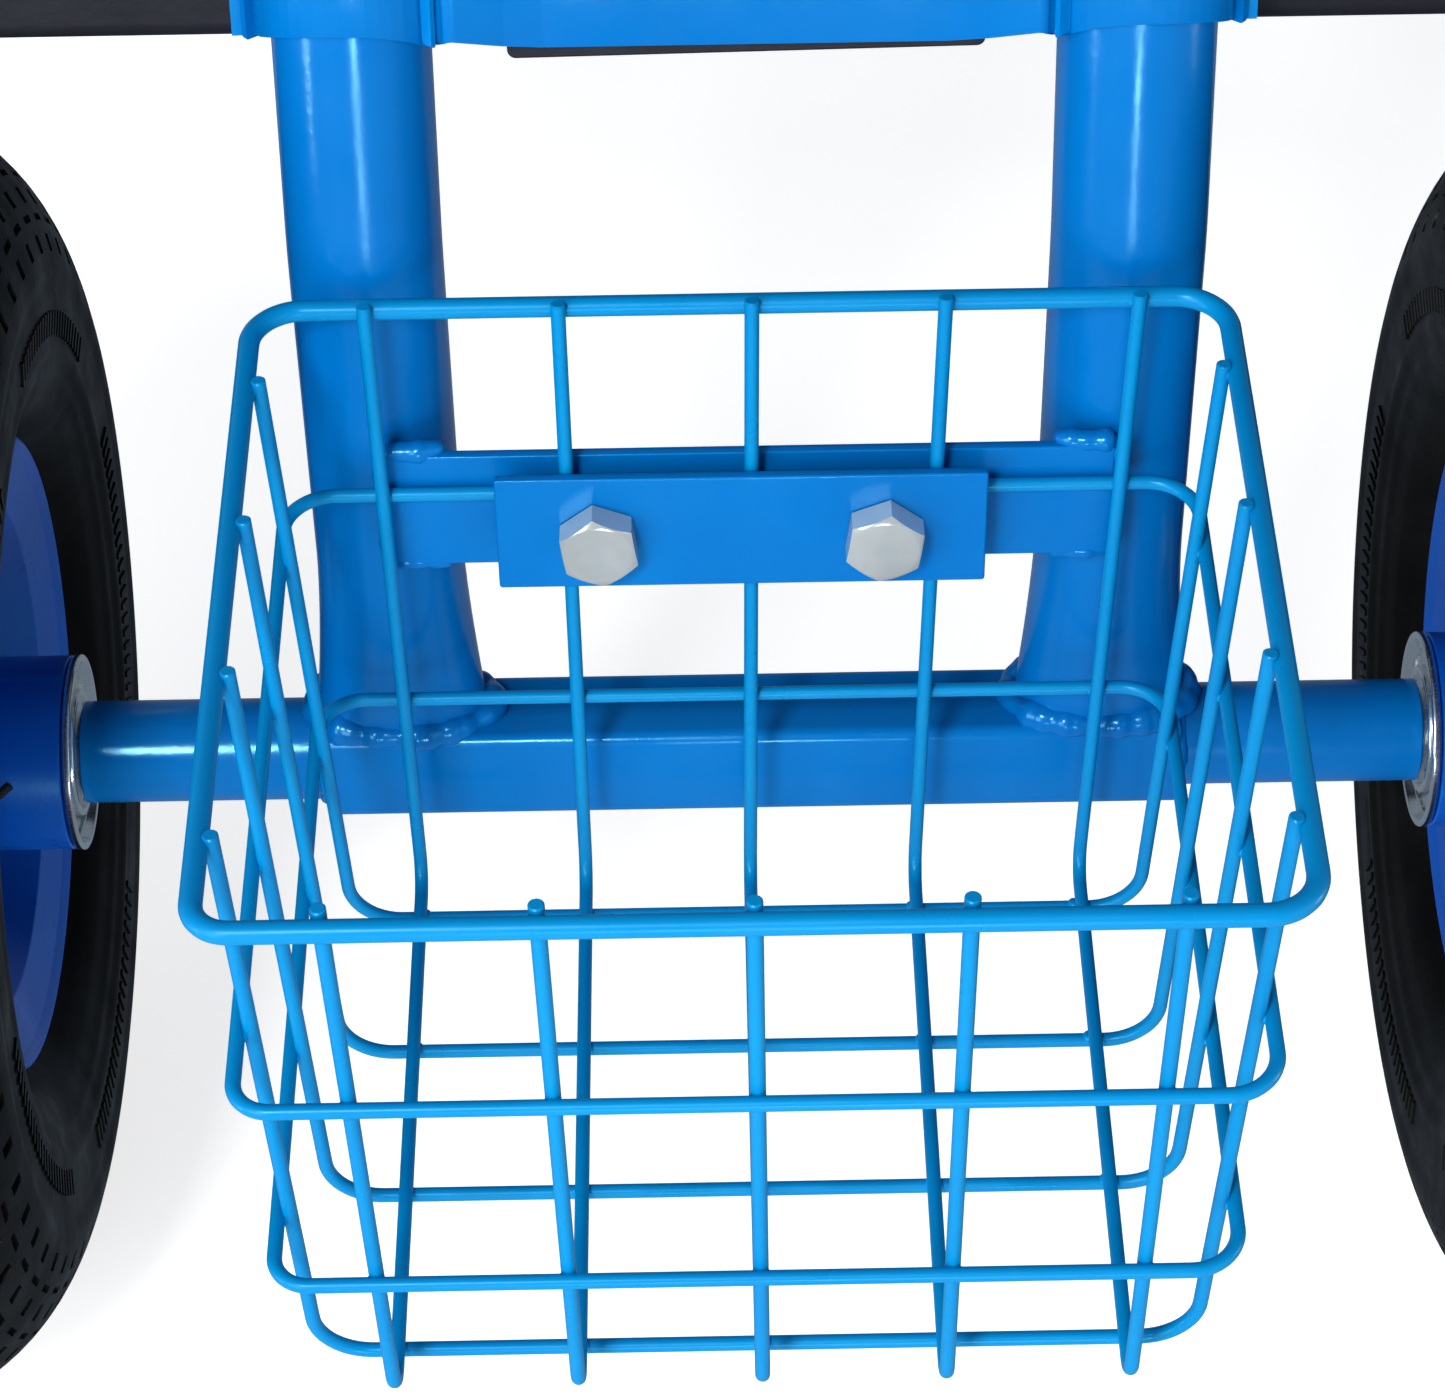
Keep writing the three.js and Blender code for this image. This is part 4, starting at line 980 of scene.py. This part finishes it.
clamp = plate(rectangle(CLAMP_WIDTH, CLAMP_HEIGHT, 0.6), CLAMP_THICKNESS, 0.35, clamp_holes(0))
clamp = moved(facing_front(clamp), x=BASKET_X, y=CLAMP_BACK - CLAMP_THICKNESS / 2, z=CLAMP_Z)
piece("basket_clamp_sheet", clamp, frame_blue, node="basket_clamp_plate")
brace = plate(rectangle(BRACE_WIDTH, CLAMP_HEIGHT, 1.0), BRACE_THICKNESS, 0.35, clamp_holes(BASKET_X))
brace = moved(facing_front(brace), y=BRACE_FRONT + BRACE_THICKNESS / 2, z=CLAMP_Z)
stand_in("brace", "sheet", brace, frame_blue)


def brace_welds():
    """Short fat beads where the brace meets the fronts of the uprights."""
    beads = []
    middle = BRACE_FRONT + 1.6
    for side in (-1, 1):
        for end in (-1, 1):
            z = CLAMP_Z + end * 12.4
            line = [(side * 54.5, middle + 1.2, z), (side * 60, middle, z), (side * 65.8, middle, z)]
            beads.append(bead(line, 1.9, seed=side + end * 0.7, pitch=3.1))
        beads.append(bead([(side * 65.9, middle, CLAMP_Z - 12), (side * 66.2, middle, CLAMP_Z + 12)], 1.5,
                          seed=side * 2.0, pitch=3.1))
    return merged(beads)


piece("brace_weld", brace_welds(), frame_blue)
for name, side in SIDES:
    grip = BRACE_FRONT + BRACE_THICKNESS - (CLAMP_BACK - CLAMP_THICKNESS) + 2 * GAP
    bolt = bolt_set(BOLT_FLATS, BOLT_RADIUS, grip, BOLT_TAIL, BOLT_HEAD)
    bolt = spun(bolt, "Y", 8 * side)
    bolt = moved(bolt, x=BASKET_X + side * CLAMP_BOLT_X, y=CLAMP_BACK - CLAMP_THICKNESS - GAP, z=CLAMP_BOLT_Z)
    stand_in(f"basket_bolt_{name}", "set", bolt, bolt_zinc)


# ---- saddles and cross bars
SADDLE_THICKNESS = 2.2
CROWN = TUBE_RADIUS + GAP + SADDLE_THICKNESS
RECESS = 6.0
SADDLE_HALF_HEIGHT = 18.0
SADDLE_SLANT = math.tan(math.radians(31))
OUTER_SLANT = math.tan(math.radians(18))
SADDLE_BOLT_X = 26.5
CROSS_BAR_FRONT = TUBE_RADIUS + GAP
CROSS_BAR_HEIGHT = 40.0
CROSS_BAR_DEPTH = 20.0


def leaning(shape, origin, lean):
    """Moves a shape from an upright's own leaning frame into the cart's."""
    return moved(spun(shape, "X", -math.degrees(lean)), *origin)


def saddle_line():
    """Front line of the pressed plate, from the middle out to one end: [x, y]."""
    line = [(0, -RECESS), (34.5, -RECESS), (41, -RECESS - 1.4), (50.5, -CROWN + 4.6)]
    for i in range(19):
        a = math.radians(152 - i * 8)
        line.append((TUBE_X + CROWN * math.cos(a), -CROWN * math.sin(a)))
    line += [(TUBE_X + CROWN + 0.8, -1.4), (TUBE_X + CROWN + 4, -1.8)]
    return rounded([np.array(p) for p in line], 2.2, step=12)


def saddle_shape():
    half = saddle_line()
    line = np.vstack([half[::-1] * (-1, 1), half[1:]])
    tangent = unit(np.gradient(line, axis=0))
    inward = np.column_stack([-tangent[:, 1], tangent[:, 0]])
    edge = 0.5
    section = []
    height = SADDLE_HALF_HEIGHT + (line[:, 1] + RECESS) * SADDLE_SLANT
    crown_height = SADDLE_HALF_HEIGHT - (CROWN - RECESS) * SADDLE_SLANT
    outside = np.abs(line[:, 0]) > TUBE_X
    height = np.where(outside, crown_height + (line[:, 1] + CROWN) * OUTER_SLANT, height)
    # Round the plate's edge: front face, rounded top edge, back face, rounded bottom edge.
    profile = [(0, -1, edge), (0, 1, edge), (edge * 0.3, 1, edge * 0.3), (edge, 1, 0),
               (SADDLE_THICKNESS - edge, 1, 0), (SADDLE_THICKNESS - edge * 0.3, 1, edge * 0.3),
               (SADDLE_THICKNESS, 1, edge), (SADDLE_THICKNESS, -1, edge),
               (SADDLE_THICKNESS - edge * 0.3, -1, edge * 0.3), (SADDLE_THICKNESS - edge, -1, 0),
               (edge, -1, 0), (edge * 0.3, -1, edge * 0.3)]
    for depth, end, inset in profile:
        at = line + inward * depth
        section.append(np.column_stack([at, end * (height - inset)]))
    points = np.stack(section, 1).reshape(-1, 3)
    return points, capped(len(line), len(profile))


def saddle_set(prefix, origin, lean):
    def put(part, shape, material, node):
        piece(f"{prefix}_{part}", leaning(shape, origin, lean), material, node=f"{prefix}_{node}")

    put("saddle_sheet", saddle_shape(), frame_blue, "saddle")
    backing_front = -RECESS + SADDLE_THICKNESS + GAP
    backing = moved(facing_front(plate(rectangle(82, 38.5, 1.5), 2.6, 0.35)), y=backing_front + 1.3, z=-1)
    put("backing_sheet", spun(backing, "Y", -0.7), frame_black, "backing_plate")
    section = rectangle(CROSS_BAR_DEPTH, CROSS_BAR_HEIGHT, 3.2)
    hole = rectangle(CROSS_BAR_DEPTH - 4, CROSS_BAR_HEIGHT - 4, 1.6)
    length = 2 * (PLATE_X - PLATE_THICKNESS / 2 - GAP)
    bar = moved(across(plate(section, length, 0.4, [hole])), y=CROSS_BAR_FRONT + CROSS_BAR_DEPTH / 2, z=-3)
    put("cross_bar_tube", bar, frame_black, "cross_bar")
    for name, side in SIDES:
        grip = RECESS + CROSS_BAR_FRONT + CROSS_BAR_DEPTH + 2 * GAP
        bolt = bolt_set(BOLT_FLATS, BOLT_RADIUS, grip, BOLT_TAIL, BOLT_HEAD, WASHER_RADIUS)
        bolt = moved(spun(bolt, "Y", 11 * side), x=side * SADDLE_BOLT_X, y=-RECESS - GAP)
        put(f"saddle_bolt_{name}_set", bolt, bolt_zinc, f"saddle_bolt_{name}")


LOWER_SADDLE = along_lean(KNEE, KNEE_LEAN, 56)
UPPER_SADDLE = along_lean(SHOULDER, SHOULDER_LEAN, 355)
saddle_set("lower", LOWER_SADDLE, KNEE_LEAN)
saddle_set("upper", UPPER_SADDLE, SHOULDER_LEAN)


# ---- side plates and stand
def behind(start, lean, y, z):
    return np.array([0, start[1] + math.cos(lean) * y + math.sin(lean) * z,
                     start[2] - math.sin(lean) * y + math.cos(lean) * z])


BAR_CENTRE_Y = CROSS_BAR_FRONT + CROSS_BAR_DEPTH / 2
LOWER_BAR = behind(LOWER_SADDLE, KNEE_LEAN, BAR_CENTRE_Y, -3)
UPPER_BAR = behind(UPPER_SADDLE, SHOULDER_LEAN, BAR_CENTRE_Y, -3)
STAND_HEIGHT = 292.0                  # of the stand's welded ends above the ground
STAND_SETBACK = 12.0                  # how far they lean forward of its foot
STAND_TAIL = 14.0                     # tube left above the weld
STAND_TOP = np.array([0, STAND_Y - STAND_SETBACK, STAND_HEIGHT + GROUND])


def side_plate_shape():
    """Three rounded arms from the shaft to the two cross bars and the stand."""
    arm = 23.0
    tips = [p[1:] - DRUM[1:] for p in (LOWER_BAR, UPPER_BAR, STAND_TOP)]
    tips.sort(key=lambda t: math.atan2(t[1], t[0]))
    corners, radii = [], []
    for i, tip in enumerate(tips):
        along = unit(tip)
        left = np.array([-along[1], along[0]])
        following = unit(tips[(i + 1) % 3])
        right_of_next = np.array([following[1], -following[0]])
        corners += [tip + along * arm - left * arm, tip + along * arm + left * arm]
        radii += [arm * 0.99] * 2
        lines = np.column_stack([along, -following])
        t = np.linalg.solve(lines, right_of_next * arm - left * arm)
        corners.append(left * arm + along * t[0])
        radii.append(34)
    outline = [tuple(p) for p in rounded(corners, radii, True, 6)]
    sheet = across(plate(outline, PLATE_THICKNESS, 0.6, [circle(14 + GAP)]))
    return moved(sheet, *DRUM)


def bar_end_weld(centre, lean, seed):
    path = rounded([(-10, -20), (10, -20), (10, 20), (-10, 20)], 3.2, True, 15)
    ring = [(PLATE_X - 2.3, y, z) for y, z in path]
    return leaning(bead(ring, 1.6, True, 3.0, seed), centre, lean)


for name, side in SIDES:
    x = side * PLATE_X
    stand_in(f"side_plate_{name}", "sheet", moved(side_plate_shape(), x=x), frame_black)
    welds = merged([bar_end_weld(LOWER_BAR, KNEE_LEAN, 0.3), bar_end_weld(UPPER_BAR, SHOULDER_LEAN, 1.1)])
    piece(f"side_plate_{name}_weld", on_side(welds, side), frame_black)
    bush = soft([(-9, 10.1), (-9, 14), (0.3, 14), (0.3, 19), (3, 19), (3, 10.1)], 0.5)
    bush = moved(lathe(bush, 64), x=PLATE_X + PLATE_THICKNESS / 2, y=DRUM[1], z=DRUM[2])
    stand_in(f"shaft_bush_{name}", "ring", on_side(bush, side), black_plastic)

STAND_X = PLATE_X - PLATE_THICKNESS / 2 - STAND_RADIUS - GAP
FOOT_RISE = 6.0
RUBBER_FOOT_X = 70.0
STAND_BOTTOM = STAND_RADIUS + FOOT_RISE


def stand_shape():
    rise = STAND_HEIGHT + STAND_TAIL - STAND_BOTTOM
    corners = [(-STAND_X, 0, rise), (-STAND_X, 0, 0), (STAND_X, 0, 0), (STAND_X, 0, rise)]
    tilt = math.degrees(math.atan2(STAND_SETBACK, STAND_HEIGHT - STAND_BOTTOM))
    tube = pipe(rounded(corners, 45, step=5), STAND_RADIUS, 1.8, 36, (0, 1, 0))
    return moved(spun(tube, "X", tilt), y=STAND_Y, z=GROUND + STAND_BOTTOM)


def stand_welds():
    beads = []
    for side in (-1, 1):
        for offset, seed in ((-9, 0.5), (9, 1.4)):
            at = STAND_TOP[1] + offset
            path = [(side * (PLATE_X - 2.6), at, STAND_TOP[2] + rise) for rise in (-20, -4, 12)]
            beads.append(bead(path, 1.7, seed=seed + side, pitch=3.0))
    return merged(beads)


def foot_shape():
    """A rubber pad that clips up round the stand's tube."""
    top = STAND_BOTTOM
    half = STAND_RADIUS + 4
    hollow = STAND_RADIUS + GAP
    hug = [(-hollow * math.cos(a), top - hollow * math.sin(a)) for a in np.linspace(math.pi, 0, 21)]
    outline = rounded([(-half, top), (-half, 0), (half, 0), (half, top)], [0, 2.5, 2.5, 0], step=15)
    outline = [tuple(p) for p in outline] + hug
    return across(plate(outline, 34, 0.9))


stand_in("rear_stand", "tube", stand_shape(), frame_black)
piece("rear_stand_weld", stand_welds(), frame_black)
for name, side in SIDES:
    foot = moved(foot_shape(), x=side * RUBBER_FOOT_X, y=STAND_Y, z=GROUND)
    stand_in(f"rubber_foot_{name}", "pad", foot, black_rubber)


# ---- drum and crank
FLANGE_SHEET = 1.6
OUTLET_X = -84.0


def drum_core_shape():
    half = FLANGE_X - FLANGE_SHEET / 2 - GAP
    bore = DRUM_RADIUS - 2
    wall = soft([(-half, DRUM_RADIUS), (half, DRUM_RADIUS), (half, bore), (-half, bore)], 0.5)
    seam = bead([(-half + 1, 0, -DRUM_RADIUS + 0.4), (half - 1, 0, -DRUM_RADIUS + 0.4)], 1.2, pitch=2.8)
    return merged([lathe(wall, 96), seam])


def drum_flange_shape():
    """Pressed steel disc: rolled rim, rolled window edges, raised rings and a boss."""
    windows = 6
    places = [(118 * math.cos(a), 118 * math.sin(a)) for a in
              [(i + 0.5) * 2 * math.pi / windows for i in range(windows)]]
    holes = [circle(27, place) for place in places] + [circle(SHAFT_RADIUS + GAP)]
    disc = across(plate(circle(FLANGE_RADIUS - 1, count=120), FLANGE_SHEET, 0.3, holes))
    parts = [disc]
    rim = [(0, y, z) for y, z in circle(FLANGE_RADIUS, count=120)]
    parts.append(rod(rim, 3.3, 16, True, (1, 0, 0)))
    for y, z in places:
        edge = [(0, y + v, z + w) for v, w in circle(27.4)]
        parts.append(rod(edge, 1.7, 10, True, (1, 0, 0)))
    for radius in (82, 152):
        ring = soft([(-1.9, radius), (-0.4, radius + 5), (0.4, radius + 5), (1.9, radius), (0.4, radius - 5),
                     (-0.4, radius - 5)], 1.2)
        parts.append(lathe(ring, 96))
    bore = SHAFT_RADIUS + GAP
    boss = soft([(-9, bore), (-9, 15.5), (-2.5, 17), (2.5, 17), (9, 15.5), (9, bore)], 0.8)
    parts.append(lathe(boss, 64))
    return merged(parts)


def in_drum(shape):
    return moved(shape, *DRUM)


stand_in("drum_core", "shell", in_drum(drum_core_shape()), frame_black, "reel")
for name, side in SIDES:
    flange = in_drum(moved(drum_flange_shape(), x=side * FLANGE_X))
    stand_in(f"drum_flange_{name}", "disc", flange, frame_black, "reel")

SHAFT_LEFT = -(PLATE_X + 14)
SHAFT_RIGHT = PLATE_X + 24
shaft = pipe([(SHAFT_LEFT, 0, 0), (0, 0, 0), (SHAFT_RIGHT, 0, 0)], SHAFT_RADIUS, 3.5, 48)
stand_in("reel_shaft", "tube", in_drum(shaft), zinc, "reel")


def outlet_shape():
    """Brass outlet with a hexagon and a coarse hose thread, on its feed pipe."""
    nut = moved(hex_body(26, 8, both=False), z=DRUM_RADIUS + 1)
    thread = moved(threaded(10.8, 17, 2.1), z=DRUM_RADIUS + 9)
    stub = rod([(0, 0, DRUM_RADIUS - 16), (0, 0, DRUM_RADIUS + 3)], 10.8, 40, normal=(1, 0, 0))
    feed = rod([(0, 0, SHAFT_RADIUS + GAP), (0, 0, DRUM_RADIUS - 14)], 6, 32, normal=(1, 0, 0))
    return moved(merged([nut, thread, stub, feed]), x=OUTLET_X)


stand_in("hose_outlet", "fitting", in_drum(outlet_shape()), brass, "reel")

CRANK_REACH = 125.0
CRANK_X = PLATE_X + 17
CRANK_THICKNESS = 5.0
CRANK_GRIP_LENGTH = 88.0


def crank_shape():
    """A flat arm, wide and round at the shaft and narrower at the grip, with a boss."""
    wide = 18.0
    narrow = 12.0
    outline = [(wide * math.cos(a), wide * math.sin(a)) for a in np.radians(np.arange(20, 161, 10))]
    outline += [(narrow * math.cos(a), -CRANK_REACH + narrow * math.sin(a))
                for a in np.radians(np.arange(200, 341, 10))]
    holes = [circle(SHAFT_RADIUS + GAP), circle(BOLT_HOLE_RADIUS, (0, -CRANK_REACH), 32)]
    arm = across(plate(outline, CRANK_THICKNESS, 0.8, holes))
    boss = lathe(soft([(-4, SHAFT_RADIUS + GAP), (-4, 16.5), (6, 16.5), (6, SHAFT_RADIUS + GAP)], 0.8), 56)
    return moved(merged([arm, boss]), x=CRANK_X)


def crank_grip_shape():
    profile = [(0, 4.3), (0, 14), (4, 15.4), (9, 14.6), (20, 12.9), (42, 13.4), (62, 14.9), (76, 15.5),
               (84, 14.4), (CRANK_GRIP_LENGTH, 11.5), (CRANK_GRIP_LENGTH, 4.3)]
    body = lathe(soft(profile, 1.2, 20), 64)
    ribs = []
    for i in range(16):
        a = 2 * math.pi * i / 16
        swell = ((16, 13.1), (30, 12.9), (46, 13.4), (60, 14.6))
        ribs.append(rod([(x, r * math.sin(a), r * math.cos(a)) for x, r in swell], 0.75, 10))
    return moved(merged([body, *ribs]), x=CRANK_X + 3.5, z=-CRANK_REACH)


stand_in("crank_arm", "plate", in_drum(crank_shape()), frame_black, "reel")
pin_grip = CRANK_THICKNESS + 2 * GAP + CRANK_GRIP_LENGTH + 1.5
pin = spun(bolt_set(BOLT_FLATS, BOLT_RADIUS, pin_grip, BOLT_TAIL, washer=WASHER_RADIUS), "Z", -90)
pin = moved(pin, x=CRANK_X - CRANK_THICKNESS / 2 - GAP, z=-CRANK_REACH)
stand_in("crank_pin", "set", in_drum(pin), zinc, "reel")
stand_in("crank_grip", "body", in_drum(crank_grip_shape()), black_plastic, "crank_grip")


# ---- water inlet
ELBOW_X = SHAFT_LEFT - 17


def elbow_shape():
    """Cast brass elbow: a collar on the shaft, a round bend and a spigot pointing down."""
    profile = [(-11, 9), (-11, 13.6), (-9, 14.5), (9, 14.5), (11, 13.6), (11, 10.25), (-2, 10.25), (-2, 9)]
    collar = moved(lathe(soft(profile, 0.7), 56), x=SHAFT_LEFT - 3)
    bend = rod(rounded([(SHAFT_LEFT - 10, 0, 0), (ELBOW_X, 0, 0), (ELBOW_X, 0, -16)], 10, step=6), 12.4, 40,
               normal=(0, 1, 0))
    spigot = rod([(ELBOW_X, 0, -12), (ELBOW_X, 0, -28.8)], 11.5, 40, normal=(1, 0, 0))
    ring = [(ELBOW_X + y, z, -27) for y, z in circle(11.4)]
    return merged([collar, bend, spigot, rod(ring, 1.0, 10, True, (0, 0, 1))])


def coupling_shape():
    """Turning coupling ring with grip lugs and an open threaded mouth."""
    profile = soft([(0, 3), (0, 15.2), (2, 16), (22, 16), (24, 15.2), (24, 12.5), (3, 12.5), (3, 3)], 0.6)
    ring = lathe(profile, 72)
    lugs = []
    for i in range(12):
        a = 2 * math.pi * i / 12
        line = [(x, 15.3 * math.sin(a), 15.3 * math.cos(a)) for x in (3, 12, 21)]
        lugs.append(rod(line, 1.4, 10))
    for i in range(5):
        thread = [(6 + 3 * i, y, z) for y, z in circle(12.4)]
        lugs.append(rod(thread, 0.5, 8, True))
    return moved(spun(merged([ring, *lugs]), "Y", 90), x=ELBOW_X, z=-29.5)


stand_in("inlet_elbow", "casting", in_drum(elbow_shape()), brass, "inlet")
stand_in("inlet_coupling", "ring", in_drum(coupling_shape()), brass, "coupling")

# The inner tubes stay hidden inside the tyres; they keep their CAD shape.
for name, _ in SIDES:
    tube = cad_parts[f"inner_tube_{name}"]
    tube.data.materials.clear()
    tube.data.materials.append(black_rubber)


# ---- studio
def floor():
    mesh = bpy.data.meshes.new("floor")
    reach = 6.0
    corners = [(-reach, -reach, 0), (reach, -reach, 0), (reach, reach, 0), (-reach, reach, 0)]
    mesh.from_pydata(corners, [], [(0, 1, 2, 3)])
    n = Nodes("floor", "frame_blue")
    tone = n.mix(n.spread(n.noise(3, 3), 0, 1), (0.78, 0.78, 0.78), (0.76, 0.76, 0.76))
    n.set(Base_Color=tone, Roughness=0.9, Specular_IOR_Level=0.0)
    n.set(Emission_Color=(1, 0.985, 0.96), Emission_Strength=0.74)
    mesh.materials.append(n.material)
    obj = bpy.data.objects.new("floor", mesh)
    bpy.context.scene.collection.objects.link(obj)
    obj.visible_glossy = False


def softbox(name, at, target, size, power):
    """A soft square lamp; places are millimetres from the axle's middle."""
    lamp = bpy.data.lights.new(name, "AREA")
    lamp.shape = "RECTANGLE"
    lamp.size, lamp.size_y = size
    lamp.energy = power
    obj = bpy.data.objects.new(name, lamp)
    start = np.array(at) * 0.001 + AXLE
    obj.location = start
    aim = Vector(np.array(target) * 0.001 + AXLE - start)
    obj.rotation_euler = aim.to_track_quat("-Z", "Y").to_euler()
    bpy.context.scene.collection.objects.link(obj)


floor()
softbox("key_left", (-1000, -1500, 520), (0, 60, 40), (1.0, 0.8), 19)
softbox("camera_side", (-361, -1107, 984), (-60, 0, 0), (0.24, 0.28), 16)
softbox("fill_right", (1500, -1300, 500), (0, 60, 60), (1.2, 1.2), 4)
softbox("low_front", (40, -1000, -20), (0, 10, 170), (0.1, 0.2), 1.6)
softbox("low_left", (-950, -480, 0), (-60, 10, 170), (0.12, 0.24), 2.0)
softbox("low_right", (1050, -150, 0), (60, 10, 170), (0.12, 0.24), 1.6)

world = bpy.data.worlds.new("studio")
bpy.context.scene.world = world
world.use_nodes = True
world.node_tree.nodes["Background"].inputs["Color"].default_value = (0.6, 0.74, 0.92, 1)
world.node_tree.nodes["Background"].inputs["Strength"].default_value = 0.3

bpy.context.scene.view_settings.view_transform = "Standard"
bpy.context.scene.view_settings.look = "None"


# ---- camera
def add_camera():
    data = bpy.data.cameras.new("camera")
    data.lens = 99.27
    data.sensor_width = 36.0
    data.sensor_fit = "HORIZONTAL"
    data.clip_end = 30.0
    camera = bpy.data.objects.new("camera", data)
    yaw, pitch, roll = math.radians(0.26), math.radians(41.002), math.radians(-0.813)
    forward = Vector((math.sin(yaw) * math.cos(pitch), math.cos(yaw) * math.cos(pitch), -math.sin(pitch)))
    right = Vector((math.cos(yaw), -math.sin(yaw), 0))
    up = right.cross(forward)
    rolled_right = math.cos(roll) * right + math.sin(roll) * up
    rolled_up = -math.sin(roll) * right + math.cos(roll) * up
    turn = Matrix((rolled_right, rolled_up, -forward)).transposed()
    camera.matrix_world = Matrix.Translation(np.array((-8.1, -584.4, 519.21)) * 0.001 + AXLE) @ turn.to_4x4()
    bpy.context.scene.collection.objects.link(camera)
    bpy.context.scene.camera = camera


add_camera()
